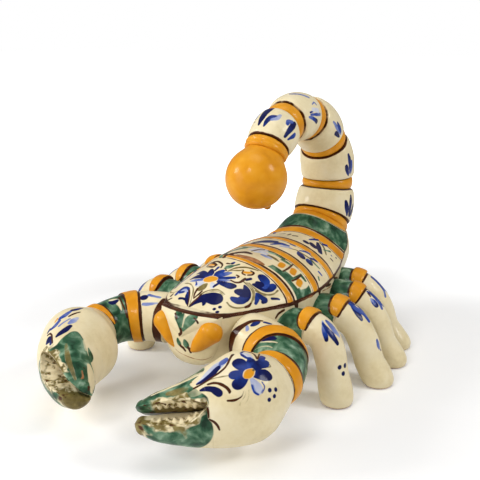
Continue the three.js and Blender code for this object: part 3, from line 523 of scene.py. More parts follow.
class Paint:
    """The brushwork on one piece: how deep its points lie in each colour, and how full the blue brush is."""

    def __init__(self, grid):
        self.shape, self.points = grid.shape[:2], grid.reshape(-1, 3)
        self.depths = {colour: np.full(len(self.points), -FAR) for colour in COLOURS}
        self.load = np.full(len(self.points), FIRST_LOAD)

    def wash(self, colour, depth):
        """Paint laid over an area, from its depth at every point of the grid."""
        depth = np.broadcast_to(depth, self.shape).ravel()
        self.depths[colour] = np.maximum(self.depths[colour], depth)

    def spare(self, colour, depth):
        """A colour wiped out of an area."""
        self.depths[colour] = np.minimum(self.depths[colour], -np.broadcast_to(depth, self.shape).ravel())

    def lower(self, colour, near, depth):
        """A colour made no deeper than this at some of the points."""
        self.depths[colour][near] = np.minimum(self.depths[colour][near], depth)

    def strokes(self, surface, table, turned=lambda angle: angle):
        """Strokes over a surface. Each row holds a colour, its load at both ends, and places with a width.
        A bare stroke thins the green, as a wet brush does; along the near claw's ridge it paints a highlight.
        Yellow lies over blue, and cream over green."""
        for colour, first, last, places in table:
            u, v, width = through(places, 8 * len(places))
            near, depth, share = depth_in(self.points, surface(u, turned(v)), 0.5 * width + BLEED)
            if colour == "bare":
                self.lower("green", near, np.maximum(BARE - depth, BARE_LEAST))
                continue
            if colour in WIPES:
                self.lower(WIPES[colour], near, WIPED - depth)
            old = self.depths[colour][near]
            fresh = np.where(old > 0, np.clip(0.5 + 2.5 * depth, 0, 1), depth > old)
            if colour == "blue":
                self.load[near] += fresh * (first + (last - first) * share - self.load[near])
            self.depths[colour][near] = np.maximum(old, depth)

    def layers(self, count):
        """What the mesh keeps: each depth with a hand's wobble, and the load, one value for every vertex."""
        wobble = 0.14 * lumps(self.points, 2.2, 3) + 0.2 * lumps(self.points, 7.0, 5)
        made = {c: np.clip(d + wobble, -FAR, FAR) for c, d in self.depths.items() if d.max() > -FAR}
        made["load"] = self.load
        return {c: np.pad(d, (0, count - len(d)), mode="edge").astype(np.float32) for c, d in made.items()}


print("the painter has", len(COLOURS), "colours")

# %% [markdown]
# ## From the photograph to the clay
# The decoration was read off a photograph: where each stroke starts, bends and ends, and how wide it
# looks. To lay it on the clay, the script needs the place where the camera stood and, for every mark, the
# place on the surface that was seen there. A net of places on the side that faces the camera gives a first
# guess, and a few corrections by the surface's slopes bring it under the mark. Strokes could also be set in
# millimetres along each piece, but marks can be read and checked on the photograph itself.

# %% Where the camera stood
AZIMUTH, ELEVATION, DISTANCE = np.radians(33.3), np.radians(15.8), 525.0
AIM = np.array([0, 42.0, 96.25])
FOCAL, PICTURE = 750.0, 480.0  # focal length and the photograph's side, both in its pixels
LEVEL_RUN = np.array([np.sin(AZIMUTH), -np.cos(AZIMUTH), 0])
TOWARD = np.cos(ELEVATION) * LEVEL_RUN + np.sin(ELEVATION) * Z
STAND = AIM + DISTANCE * TOWARD
RIGHT = unit(np.cross(Z, TOWARD))
UP = np.cross(TOWARD, RIGHT)


def in_picture(points):
    """Where points show in the photograph, right and down from its corner, and how far away they are: the
    distance to the side is divided by the distance away."""
    run = points - STAND
    away = -(run @ TOWARD)
    right, down = FOCAL * (run @ RIGHT) / away, -FOCAL * (run @ UP) / away
    return np.stack([right, down], -1) + PICTURE / 2, away


print("the front edge's middle shows at", in_picture(back(front_edge(0.0), 0.0))[0].round(1))

# %% Marks on a surface
POINTED = ("blue", "brown", "olive", "green")  # laid with a pointed brush, unless a flat one is named
CORE, FRINGE = 1.18, 0.7  # a pointed brush's line is wider than the dark core that is read, in pixels
FULL = 1, 1  # the load of a brush that isn't given one
NET, NEAREST, SMALL = (240, 216), 12, 1e-4  # places each way, guesses tried, a small share of a span
CORRECTIONS, LONGEST_STEP, BEHIND = 8, 0.03, 3.0  # BEHIND: millimetres away that a pixel off counts for
DOT, LEAST_WIDE, MOST_WIDE = 0.3, 0.6, 1.7  # a dot's length in pixels, limits of a stroke's foreshortening


class Sight:
    """A surface as the camera sees it, over a span of each parameter. On a surface whose parameters run the
    other way round, the first span runs down. A mirrored one is the left hand of a pair."""

    def __init__(self, surface, first, second, mirror=False):
        self.surface, self.mirror = surface, (-1, 1, 1) if mirror else (1, 1, 1)
        self.spans = np.array([first, second], float)
        self.reach = self.spans[:, 1] - self.spans[:, 0]
        self.outward = np.sign(self.reach.prod()) * self.mirror[0]
        net = np.meshgrid(*(np.linspace(*span, n) for span, n in zip(self.spans, NET)), indexing="ij")
        net = np.stack([n.ravel() for n in net], -1)
        self.net = net[self.faces(net)]
        self.marks, self.away = in_picture(self.at(self.net))

    def at(self, place):
        """Points on the surface, from places with both parameters on the last axis."""
        return self.surface(place[..., 0], place[..., 1]) * self.mirror

    def slopes(self, place):
        """How the point in space and the point in the photograph move for each parameter, on a last axis,
        from a small step either way."""
        steps = SMALL * np.diag(self.reach)
        pairs = [(self.at(place + step), self.at(place - step), 2 * step.sum()) for step in steps]
        space = [(ahead - behind) / run for ahead, behind, run in pairs]
        picture = [(in_picture(ahead)[0] - in_picture(behind)[0]) / run for ahead, behind, run in pairs]
        return np.stack(space, -1), np.stack(picture, -1)

    def faces(self, place):
        """Which places face the camera: the cross product of the two slopes points towards it."""
        space, _ = self.slopes(place)
        out = self.outward * np.cross(space[..., 1], space[..., 0])
        return ((STAND - self.at(place)) * out).sum(axis=-1) > 0

    def guess(self, mark):
        """Of the places on the net nearest to each mark, the one in front."""
        gap = np.linalg.norm(self.marks - mark[:, None], axis=-1)
        near = np.argpartition(gap, NEAREST, axis=1)[:, :NEAREST]
        score = self.away[near] + BEHIND * np.take_along_axis(gap, near, axis=1)
        return self.net[near[np.arange(len(near)), score.argmin(axis=1)]]

    def under(self, mark, place):
        """The places under marks: a guess is corrected by what it misses divided by the slopes, in short
        steps, until the next would leave the side that is seen."""
        longest, ends = LONGEST_STEP * np.abs(self.reach), np.sort(self.spans[0])
        going = np.full(len(place), True)
        for _ in range(CORRECTIONS):
            miss = mark - in_picture(self.at(place))[0]
            step = (np.linalg.pinv(self.slopes(place)[1]) @ miss[..., None])[..., 0]
            tried = place + np.clip(step, -longest, longest)
            tried[:, 0] = np.clip(tried[:, 0], *ends)
            going &= self.faces(tried)
            place = np.where(going[:, None], tried, place)
        return place

    def across(self, mark, place):
        """Millimetres on the surface for each pixel across a stroke: the run in space that a step across
        the stroke makes, less its share along the stroke."""
        space, picture = self.slopes(place)
        spread = space @ np.linalg.pinv(picture)
        k = np.arange(len(mark))
        run = mark[np.minimum(k + 1, len(mark) - 1)] - mark[np.maximum(k - 1, 0)]
        dot = np.linalg.norm(run, axis=1) < DOT
        run[dot] = 1, 0
        run = unit(run)
        along = unit((spread @ run[..., None])[..., 0])
        aside = (spread @ np.stack([-run[:, 1], run[:, 0]], -1)[..., None])[..., 0]
        wide = np.linalg.norm(aside - (aside * along).sum(axis=1, keepdims=True) * along, axis=1)
        plain = in_picture(self.at(place))[1] / FOCAL
        return np.where(dot, plain, np.clip(wide, LEAST_WIDE * plain, MOST_WIDE * plain))

    def strokes(self, table):
        """The rows of a table, with places on the surface and millimetres instead of marks and pixels."""
        marks = [np.array(row[-1], float) for row in table]
        guesses = np.concatenate([self.guess(mark[:, :2]) for mark in marks])
        found = self.under(np.concatenate(marks)[:, :2], guesses)
        found = np.split(found, np.cumsum([len(mark) for mark in marks])[:-1])
        rows = []
        for (brush, *load, _), mark, place in zip(table, marks, found):
            width = CORE * mark[:, 2] + FRINGE if brush in POINTED else mark[:, 2]
            width = width * self.across(mark[:, :2], place)
            places = np.stack([place[:, 0], np.unwrap(place[:, 1], period=360), width], -1)
            rows.append((brush.split()[-1], *(load or FULL), places))
        return rows


print("a net of", NET[0] * NET[1], "places is laid over each painted surface")

# %% [markdown]
# ## The glaze
# Tin glaze is a cloudy cream glass. The metal colours are brushed on the raw glaze and melt into it, so the
# whole surface is equally glossy, the colours vary with how thick they were laid, and their edges bleed a
# little. One recipe therefore serves every piece: a ground colour, then the painted layers one over another,
# under a clear coat. A small class lets the shader's sums be written as plain expressions.

# %% Sums on shader sockets
def rgb(code):
    """A colour as a painter would name it by its screen code, turned into light values."""
    part = np.array([int(code[k:k + 2], 16) for k in (0, 2, 4)]) / 255
    return (*np.where(part > 0.04045, ((part + 0.055) / 1.055) ** 2.4, part / 12.92), 1.0)


class Wire:
    """A shader socket to reckon with: sums on values add Math nodes, and colours go through Mix."""

    def __init__(self, tree, socket=None):
        self.tree, self.socket = tree, socket

    def make(self, kind, settings, sockets, out=0):
        """Any node: its settings first, then a number, a colour or a link for each socket."""
        node = self.tree.nodes.new("ShaderNode" + kind)
        for name, value in settings.items():
            if name == "stops":
                while len(node.color_ramp.elements) < len(value):
                    node.color_ramp.elements.new(1.0)
                for stop, (place, code) in zip(node.color_ramp.elements, value):
                    stop.position, stop.color = place, rgb(code)
            else:
                setattr(node, name, value)
        for key, value in sockets.items():
            if isinstance(value, Wire):
                self.tree.links.new(value.socket, node.inputs[key])
            else:
                node.inputs[key].default_value = value
        return Wire(self.tree, node.outputs[out])

    def math(self, operation, *values):
        """One Math node."""
        return self.make("Math", {"operation": operation}, dict(enumerate(values)))

    def __add__(self, other):
        return self.math("ADD", self, other)

    def __sub__(self, other):
        return self.math("SUBTRACT", self, other)

    def __rsub__(self, other):
        return self.math("SUBTRACT", other, self)

    def __mul__(self, other):
        return self.math("MULTIPLY", self, other)

    __radd__, __rmul__ = __add__, __mul__

    def under(self, colour, cover):
        """This colour with another laid over it where cover is 1."""
        return self.make("Mix", {"data_type": "RGBA"}, {0: cover, 6: self, 7: colour}, out=2)


print("a mid grey code in light values:", round(rgb("808080")[0], 3))

# %% [markdown]
# Each pigment has a ramp between its thick, dark tone and its thin, pale one, and a cloud of noise picks the
# tone as an uneven brush would. Blue also pales as the brush runs dry.

# %% Glaze recipes
PIGMENTS = {
    "cream": [(0.25, "D8C698"), (0.5, "E7D8B0"), (0.8, "EFE3C4")],
    "yellow": [(0.25, "C67C0E"), (0.5, "DC931C"), (0.8, "E8A838")],
    "olive": [(0.25, "4E4424"), (0.5, "7A6B3C"), (0.8, "A39560")],
    "green": [(0.2, "14301F"), (0.45, "325A40"), (0.62, "5C7F63"), (0.85, "9DB79D")],
    "blue": [(0.1, "D0D1D8"), (0.4, "7C8ABC"), (0.65, "1F4096"), (0.95, "0C1248")],
    "brown": [(0.25, "2C1408"), (0.5, "45200C"), (0.8, "6B3D1E")],
    "clay": [(0.3, "8A5A36"), (0.7, "B98257")],
}
SOFT_EDGE = {"cream": 0.9, "yellow": 0.8, "olive": 0.75, "green": 0.7, "blue": 0.4, "brown": 0.4,
             "clay": 0.6}  # millimetres over which a stroke fades in
CLOUDS = {  # scale, detail and distortion of each cloud of noise
    "broad": (55, 2.0, 0.3), "brushy": (120, 3.0, 0.5), "fine": (420, 2.0, 0.0), "ripple": (170, 2.0, 0.4)}
RIPPLE, RIPPLE_HEIGHT = 0.12, 0.0004
SHEEN, COAT, COAT_ROUGH = 0.08, 0.2, 0.11  # reflection of the glass under a thin and sharper clear coat


def glaze(slot, ground):
    """A glazed finish: the ground's tones, then each painted layer where its depth is above nought."""
    material = bpy.data.materials.new(slot)
    material.use_nodes = True
    tree = material.node_tree
    shader = tree.nodes["Principled BSDF"]
    start = Wire(tree)
    place = start.make("TexCoord", {}, {}, out="Object")

    def cloud(name):
        """A cloud of noise by its name."""
        scale, detail, uneven = CLOUDS[name]
        sockets = {"Vector": place, "Scale": scale, "Detail": detail, "Distortion": uneven}
        return start.make("TexNoise", {}, sockets)

    def kept(name):
        """What the brushwork kept on the mesh under a name."""
        return start.make("Attribute", {"attribute_name": name}, {}, out="Fac")

    broad, brushy, fine = cloud("broad"), cloud("brushy"), cloud("fine")
    tone = {
        "cream": broad * 0.75 + fine * 0.25,
        "yellow": broad * 0.6 + brushy * 0.4,
        "olive": brushy * 0.6 + fine * 0.4,
        "green": brushy * 1.5 - 0.25,
        "blue": kept("load") * 1.05 + brushy * 0.5 - 0.3,
        "brown": brushy * 0.7 + fine * 0.3,
        "clay": fine,
    }
    ramp = {name: start.make("ValToRGB", {"stops": PIGMENTS[name]}, {0: tone[name]}) for name in PIGMENTS}
    colour, cover = ramp[ground], {}
    for name in COLOURS:
        span = {0: kept(name), 1: 0.0, 2: SOFT_EDGE[name]}
        cover[name] = start.make("MapRange", {"interpolation_type": "SMOOTHSTEP"}, span)
        colour = colour.under(ramp[name], cover[name])
    rough = 0.26 + broad * 0.12 + cover["clay"] * 0.4  # bare clay is dull
    waves = {"Strength": RIPPLE, "Distance": RIPPLE_HEIGHT, "Height": cloud("ripple")}
    ripple = start.make("Bump", {}, waves)
    tree.links.new(colour.socket, shader.inputs["Base Color"])
    tree.links.new(rough.socket, shader.inputs["Roughness"])
    tree.links.new(ripple.socket, shader.inputs["Normal"])
    shader.inputs["Specular IOR Level"].default_value = SHEEN
    shader.inputs["Coat Weight"].default_value = COAT
    shader.inputs["Coat Roughness"].default_value = COAT_ROUGH
    return material


GROUNDS = {
    "painted_cream_glaze": "cream", "ochre_glaze": "yellow", "green_glaze": "green", "brown_glaze": "brown"}
glazes = {slot: glaze(slot, ground) for slot, ground in GROUNDS.items()}
print("glazes:", ", ".join(glazes))

# %% [markdown]
# ## The back
# The front of the back is a shield, and its rear is a banded shell that runs up to the tail. Both are
# pressed clay about 5 mm thick, so each is a shell: the outside, and the inside of the wall at a few points.
# The painter first lays the yellow bands on their ridges, with a brown line in each groove, and fills the
# strips between them. The flower, buds and scrolls come last. Each row of marks holds a brush, for blue how
# full it is at both ends of the stroke, and the marks with a width, all as read off the photograph.

# %% Marks on the back
BACK_MARKS = [
    # far edge
    ("blue", 1, 0.9, [(175, 288, 1), (180, 283.5, 1.7), (188, 277.5, 1.9), (195, 271.5, 1.7),
        (200, 267.5, 1)]),
    ("brown", [(201, 266.5, 0.8), (207, 263, 0.8)]),
    # flower
    ("blue", 0.95, 0.9, [(190.5, 279, 0.7), (196, 276.5, 2.6), (203, 276.3, 2.8), (205, 277.3, 1.2)]),
    ("blue", 0.8, 1, [(207, 276.3, 2), (204.5, 273.8, 4.6), (201, 272.2, 2.4), (197.5, 273.5, 1)]),
    ("blue", 0.8, 1, [(210, 275.8, 2.5), (210.6, 273, 5.2), (211.5, 270, 3)]),
    ("blue", 0.95, 0.7, [(215.3, 275.7, 2), (219, 272.7, 3.6), (223, 270.8, 2)]),
    ("blue", 0.8, 0.5, [(218, 276, 2), (225, 274, 3.2), (231, 272.8, 1)]),
    ("blue", 0.9, 0.75, [(217, 278.3, 1.6), (226, 278, 2.3), (234.5, 277.5, 1.5)]),
    ("blue", 0.6, 0.35, [(218, 279.9, 1), (225, 280.4, 1.6), (230, 280.8, 0.6)]),
    ("blue", 0.8, 1, [(217.5, 281.5, 1.2), (223, 283.6, 3.6), (230, 285.6, 4.8), (234, 286, 2.8)]),
    ("blue", 0.12, 0.12, [(212, 283.3, 2.2), (212.5, 285.6, 4.4), (212, 287, 3)]),
    ("blue", 0.95, 0.8, [(214, 286.6, 0.8), (217.5, 284, 1.5)]),
    ("blue", 0.2, 0.15, [(204, 281, 2), (199.5, 283, 3.4), (196.8, 284.4, 2)]),
    ("blue", 0.8, 0.7, [(196, 281, 0.6), (196.2, 284.5, 0.8)]),
    ("blue", 0.6, 0.35, [(203, 279.2, 1), (196, 279.9, 1.5), (191, 280.6, 0.8)]),
    ("yellow", [(206.3, 279.4, 4.6), (210.5, 278.9, 6.4), (214.8, 278.9, 4.6)]),
    ("olive", [(206, 284.5, 2), (202.5, 287, 4.2), (199.5, 288.8, 2.6)]),
    # buds and ticks at the top
    ("yellow", [(208.8, 265.3, 1.6), (212, 264.8, 2.6), (214.5, 265, 1.6)]),
    ("brown", [(207, 266.5, 0.8), (209.5, 263.8, 1), (213, 263, 1), (216.3, 264.6, 1.2)]),
    ("brown", [(208, 266.9, 0.7), (213, 266.9, 0.8), (216.5, 265, 0.8)]),
    ("brown", [(214, 261.8, 0.7), (219, 262, 1), (222.3, 264.5, 1.3), (221, 267.6, 1)]),
    ("blue", 0.95, 0.8, [(215, 270.5, 1), (218.6, 267, 1.2)]),
    ("green", [(225, 268.3, 1), (229, 266.5, 2.8), (233.5, 265.5, 1)]),
    ("brown", [(227.3, 263.3, 0.9), (229.6, 263.5, 0.6)]),
    ("blue", 0.9, 0.7, [(232.5, 263.2, 1.4), (234.2, 262.3, 0.8)]),
    ("green", [(235, 265.2, 0.8), (239, 264.3, 0.7)]),
    ("brown", [(225.6, 268.5, 0.8), (226.2, 270.5, 1.1)]),
    ("olive", [(228, 271, 0.6), (236, 267.8, 0.9), (245, 267.3, 1), (252, 268.7, 1), (258, 270.6, 0.7)]),
    ("olive", [(230, 270.3, 0.6), (238, 270.5, 0.7), (243, 270, 0.6)]),
    ("yellow", [(243.8, 272, 2.4), (247.5, 272.7, 2.8), (251, 272.8, 2)]),
    ("brown", [(243.5, 270.5, 0.7), (242.2, 273, 1), (245, 274.9, 0.7)]),
    ("brown", [(251, 271, 0.8), (253.8, 273, 1.1), (252, 274.8, 1), (248, 275.1, 0.6)]),
    ("brown", [(236.5, 275, 0.7), (238.5, 276.4, 1.2), (237.5, 277.6, 0.8)]),
    ("brown", [(230.8, 280.3, 0.9), (235, 282.2, 0.9), (239.5, 282.3, 1), (243, 280.5, 1.6),
        (245.2, 278.5, 1)]),
    ("blue", 1, 1, [(246.7, 279.8, 1.8), (250.5, 278.8, 1.7)]),
    # leaf and points at the left
    ("blue", 0.3, 0.3, [(176, 294.5, 1.2), (181, 291, 3.6), (186, 289.5, 4.2), (188, 291, 2)]),
    ("blue", 0.8, 0.75, [(175.5, 295, 0.8), (179, 291, 1), (184, 287.6, 1.1), (187.5, 287.4, 1.3),
        (189, 290, 1)]),
    ("blue", 0.8, 0.8, [(180, 292.3, 0.8), (183.2, 292, 0.9)]),
    ("blue", 0.85, 1, [(187.7, 292.5, 0.9), (187, 296, 2.4), (186.8, 300, 3.1), (187.2, 304, 1.5)]),
    ("blue", 1, 1, [(179.4, 298.3, 1.7), (183, 298.6, 1.6), (186, 300, 1.3)]),
    ("olive", [(185, 283, 0.5), (190.5, 284, 0.7), (193.3, 289.5, 0.8), (191, 300, 0.8),
        (189.5, 305, 0.8)]),
    ("brown", [(189.2, 290, 0.7), (189.3, 297, 0.7), (187.4, 306, 0.8)]),
    ("brown", [(189, 306.8, 0.9), (193, 302, 0.8), (198, 297.6, 0.8), (201, 294.4, 0.7)]),
    ("brown", [(193.5, 298.2, 0.8), (194.5, 294, 0.8), (197.5, 288.5, 0.8)]),
    ("brown", [(194, 298, 0.7), (197.5, 295, 0.7), (202, 291, 0.6)]),
    ("brown", [(168, 300, 0.9), (171.5, 298.3, 0.6)]),
    ("brown", [(171, 296, 0.9), (173, 294, 0.7)]),
    # drop with a hook, its arc, three dots
    ("blue", 1, 1, [(190, 306.4, 0.9), (196, 302, 2.6), (203, 298.2, 5.6), (210, 297.5, 8.6),
        (214.8, 298.6, 10.4), (216.3, 298.8, 9)]),
    ("blue", 1, 1, [(203, 300.5, 3), (204, 302.5, 3.1), (203.3, 304.6, 1.5)]),
    ("olive", [(199.5, 295.2, 0.7), (205, 291.6, 1), (212, 289.7, 1), (219, 290, 1), (224.5, 294.3, 0.8)]),
    ("olive", [(206, 292.8, 0.6), (213, 291, 0.7), (219, 291.6, 0.7), (223, 295.3, 0.6)]),
    ("blue", 1, 1, [(220, 307, 2.7)]),
    ("blue", 1, 1, [(214.3, 309, 2.8)]),
    ("blue", 1, 1, [(217.3, 312, 2.9)]),
    # comma scroll and its tendril
    ("blue", 1, 0.8, [(244.6, 285.6, 1.3), (246.4, 289.5, 5), (246.8, 294, 7), (244, 298.6, 7.6),
        (239, 300.7, 5.6), (234.3, 299.4, 4.2), (231.8, 298, 2.6)]),
    ("blue", 0.95, 1, [(237.3, 291.5, 3.8), (241, 292.4, 5.6), (245, 293.2, 6)]),
    ("olive", [(244, 282, 0.8), (249, 286.5, 0.9), (252.7, 292, 1), (253, 298, 1.2), (250.5, 304, 1.3)]),
    ("brown", [(251, 303.3, 1.2), (248.5, 306, 2.2), (245.5, 307.2, 1.8)]),
    ("olive", [(246.5, 307, 1.2), (241, 307.8, 1.1), (235, 307.8, 1.1), (230, 305.8, 1.1),
        (227, 302.4, 0.9)]),
    ("olive", [(247, 282.8, 0.8), (252, 287.8, 0.8), (254.6, 294, 0.8), (253.8, 300, 0.7)]),
    # heart scroll, fan, dashes
    ("blue", 0.95, 0.85, [(253.5, 284.5, 1.6), (258, 285.6, 4), (264, 287.7, 5.6), (269.5, 288, 6),
        (273.3, 286.2, 5)]),
    ("blue", 0.62, 1, [(264.8, 286, 5), (265.4, 281.5, 7), (263, 278, 6), (261.2, 276.6, 3.6)]),
    ("blue", 1, 1, [(261, 284.4, 3.4), (257.5, 283, 2.6)]),
    ("olive", [(249, 283, 0.9), (254, 287.6, 1), (260, 292.4, 1), (267, 294.8, 1.1), (273.5, 293.9, 1.1),
        (278, 290.4, 1)]),
    ("olive", [(255.5, 290.5, 0.7), (261, 294.3, 0.7), (266, 296, 0.6)]),
    ("blue", 0.7, 0.8, [(256.6, 293.6, 1.3), (257.4, 298, 3.5), (255.8, 303.5, 2.2)]),
    ("blue", 0.85, 1, [(257.8, 294, 1.3), (262, 297.8, 3.6), (265, 300.3, 4.4), (263, 302.2, 3)]),
    ("blue", 0.95, 0.9, [(271.8, 298.7, 1.6), (276, 298.7, 1.5), (279, 299.4, 1)]),
    # banded part: dividers, drops, stems and dashes
    ("brown", [(292.5, 264.8, 0.9), (287.5, 269, 1.1), (283, 271.3, 1.1)]),
    ("brown", [(301, 275.3, 0.9), (297, 278.7, 1.1), (292, 281, 1.1)]),
    ("blue", 0.7, 1, [(298.4, 252, 1.2), (300.5, 254.8, 3.6), (302.4, 257.3, 2.8)]),
    ("blue", 0.7, 1, [(308.2, 259.3, 1.2), (309.3, 261.8, 3.6), (310.6, 264, 2)]),
    ("olive", [(290, 248.4, 0.7), (297, 250.4, 0.9), (304, 254.6, 0.9), (310, 258.6, 0.9),
        (318.5, 267.4, 0.7)]),
    ("blue", 0.7, 0.5, [(300, 250.6, 0.8), (305, 251.6, 1.4), (309.3, 253.6, 0.9)]),
    ("blue", 0.9, 0.7, [(311, 258.4, 1), (314.5, 259.7, 1.6), (317.3, 261.7, 0.9)]),
    ("green", [(310.5, 260, 0.6), (315, 264, 0.9), (319.5, 268.4, 0.5)]),
    ("blue", 0.9, 0.85, [(253.5, 242.2, 1), (260, 241.3, 1.8), (268, 240.8, 1.9), (277, 241.6, 1.2)]),
    ("blue", 0.75, 0.6, [(272, 243.9, 1.4), (280, 243.6, 2.4), (288, 245.6, 1.6)]),
    ("blue", 0.25, 0.25, [(281, 246, 1), (286, 246.6, 2.2), (291, 248, 1)]),
    ("blue", 0.7, 0.6, [(291, 244.4, 0.8), (294.8, 245.9, 1)]),
    ("blue", 0.6, 0.6, [(319, 272, 0.9), (321.6, 275.2, 0.9)]),
    ("green", [(318.4, 277, 0.8), (319, 280.2, 0.7)]),
    ("blue", 1, 1, [(304.6, 240.9, 1.4), (306, 242.2, 2.4), (307.2, 243.3, 1.4)]),
    ("blue", 1, 1, [(311.2, 243.2, 1.4), (313, 245.4, 3), (314.8, 247.4, 2)]),
    ("blue", 1, 0.95, [(317.7, 243, 1.4), (319, 247.3, 3.2), (320.3, 252.6, 2.8)]),
    ("blue", 0.8, 0.7, [(310, 239.6, 0.8), (314, 239.6, 1.2), (317.6, 240.1, 0.8)]),
    ("olive", [(320, 243, 0.8), (324, 248, 0.9), (326.2, 254.6, 0.7)]),
    ("blue", 0.8, 0.7, [(323, 244.5, 1), (326.5, 245.6, 1)]),
    ("green", [(324, 250, 0.7), (330.2, 251.4, 0.9)]),
    ("blue", 0.8, 0.8, [(331.7, 255.6, 1.3)]),
    ("blue", 0.9, 0.9, [(336.3, 257.8, 1.2)]),
    ("brown", [(330.9, 258.8, 0.8), (332.5, 260.6, 0.8)]),
    ("brown", [(280.5, 233.8, 0.7), (284.7, 233.4, 0.8)]),
    ("brown", [(288, 235, 0.7), (290.3, 234.2, 0.8)]),
    ("brown", [(293, 235.8, 0.7), (297, 236.2, 0.8)]),
    ("cream", [(301, 288.5, 2), (305, 285.6, 4.6), (308.6, 282, 2.4)]),
    ("cream", [(271, 260, 4), (276, 262.5, 5), (279.5, 265.5, 3)]),
    ("clay", [(236, 255.4, 2.4), (246, 257.4, 4.6), (255, 260, 4.6), (263, 264, 2.6)]),
    ("brown", [(240, 252.6, 1), (246, 252, 1.6), (251, 253.6, 1)]),
    ("blue", 0.15, 0.15, [(256, 251.5, 2), (261, 251.8, 3), (266, 253.6, 2)]),
    ("blue", 0.5, 0.3, [(262, 254.5, 1), (267, 256.6, 2), (271, 258.6, 1)]),
    ("brown", [(252, 250.8, 0.6), (258, 249.6, 0.8), (264, 249.8, 0.6)]),
    ("flat blue", 0.95, 0.9, [(253.5, 242.6, 3), (262, 241.6, 5), (272, 241.8, 4.4), (279, 243, 2)]),
    ("green", [(221, 257, 2), (228, 252.6, 3), (236, 249.6, 3), (246, 247.6, 2)]),
    ("brown", [(224, 257.6, 1.2), (232, 254, 1.8), (243, 252.4, 2.2), (251, 253.8, 1.2)]),
    ("blue", 0.15, 0.15, [(251, 249.6, 2), (258, 249, 3), (266, 250.6, 2)]),
    ("green", [(262, 249.4, 0.8), (270, 251.6, 1.4), (279, 255.6, 1.4), (284, 259, 1)]),
    ("olive", [(268, 255, 1), (274, 258, 1.6), (278, 261, 1)]),
]
BACK_STROKES = Sight(back, (0, BODY_END), (-89, 89)).strokes(BACK_MARKS)
print("strokes on the back:", len(BACK_STROKES))

# %% Shield
CREASE = 88.2  # the back stops just above the crease and leaves a hair's seam over the belly
WALL = 4.5
ROUGH_LUMPS, FINE_LUMPS, FINE_SHARE = 17.0, 4.5, 0.1  # millimetres between the hand's broad and small lumps
HEAVY_LINE, FINE_LINE = 1.2, 0.6  # half widths of the brown lines behind and before a band
EDGE_LINE, GREEN_MARGIN = 1.3, 0.9
SQUARES = [  # yellow squares on the green strip: distance and angle at their two ends
    ((67.4, 33.5), (64, 34.5)), ((70, 44.5), (66, 46.5)), ((65, 58.5), (61.5, 61))]
CLEARED = [(65.9, 33.6), (68.2, 45.2), (63.6, 59.4)]  # where the green leaves room for them
SQUARE, ROOM, ROOM_TURN = 5.3, 5.6, 5.3  # a square's width, and half the room along and round the back
SMEAR_TURN = 28.0  # the crown of the strip, where the green is smeared
GREEN_END, GREEN_BOW = 178.5, 7.5  # where the last green ends, and how far its edge bows ahead at the crown
MM_PER_DEGREE = 0.85  # on the flanks of the back


def uneven(surface, *place, amount=0.45):
    """A surface with the hand's unevenness: broad soft lumps and fainter small ones."""
    plain = surface(*place)
    return surface(*place, amount * lumps(plain, ROUGH_LUMPS, 1) + FINE_SHARE * lumps(plain, FINE_LUMPS, 2))


def back_shell(start_at, end, rows):
    """Distances, angles and points of a stretch of the back: outside and inside of the wall, row by row."""
    share, across = grid_of(np.linspace(0, 1, rows), np.linspace(-CREASE, CREASE, 341))
    inner = np.linspace(-CREASE, CREASE, 13)[None]
    angle = np.hstack([across, inner[:, ::-1]])
    d = start_at(angle) + (end - start_at(angle)) * share
    columns = across.shape[1]
    outside, inside = uneven(back, d[:, :columns], across), back(d[:, :columns - 1:-1], inner, -WALL)
    return d, angle, walled(outside, inside)


def paint_back(grid, d, angle):
    """Bands, strips and strokes by their place along the back and round it."""
    paint = Paint(grid)
    d, angle = np.broadcast_arrays(d, np.asarray(angle, float))
    front, rear = np.moveaxis(band_edges(angle), -1, 1)
    paint.wash("yellow", np.minimum(d - front, rear - d).max(axis=0))
    line = HEAVY_LINE + 0.4 * np.cos(np.radians(angle))
    paint.wash("brown", (line - np.abs(d - rear - line)).max(axis=0))
    paint.wash("brown", (FINE_LINE - np.abs(d - front + 0.4)).max(axis=0))
    low, high = rear[0] + 2 * line, front[1] - 0.9
    paint.wash("green", np.minimum(d - low, high - d) - GREEN_MARGIN)
    for place, middle in CLEARED:
        aside = MM_PER_DEGREE * (ROOM_TURN - np.abs(np.abs(angle) - middle))
        paint.spare("green", np.minimum(ROOM - np.abs(d - place), aside))
    smeared = np.minimum(d - low - 1.5, high - 2.4 - d)
    smeared = np.minimum(smeared, MM_PER_DEGREE * (SMEAR_TURN - np.abs(angle)))
    paint.spare("green", smeared + 1.8 * lumps(grid, 5.0, 6) - 0.5)
    green_end = GREEN_END - GREEN_BOW * np.cos(np.radians(angle))
    paint.wash("green", np.minimum(d - rear[3] - 2.3, green_end - d))
    paint.wash("brown", 0.5 - np.abs(d - green_end - 0.7))
    paint.wash("yellow", d - green_end - 1.0)
    over_crease = arch_at(d) * np.maximum(np.cos(np.radians(angle)), 0) ** ARCH_POWER - 0.1
    paint.wash("brown", EDGE_LINE - np.minimum(d - front_edge(angle) - 0.6, over_crease))
    squares = [("yellow", 1, 1, [(*start, SQUARE), (*end, SQUARE)]) for start, end in SQUARES]
    outer = [row for row in BACK_STROKES if row[3][0][1] > (20 if row[3][0][0] > 50 else 52)]
    paint.strokes(back, squares)
    paint.strokes(back, squares, lambda v: -v)
    paint.strokes(back, BACK_STROKES)
    paint.strokes(back, outer, lambda v: -v)  # the far flank repeats what the near one shows
    return paint


HALF_SEAM = 0.05
d, angle, grid = back_shell(lambda angle: front_edge(angle) + 2 * HALF_SEAM, SHIELD_END - HALF_SEAM, 141)
paint = paint_back(grid, d, angle)
shield = skin("shield", "carapace_shield", "painted_cream_glaze", grid, paint, caps=True)
print("shield:", len(shield.data.vertices), "points")

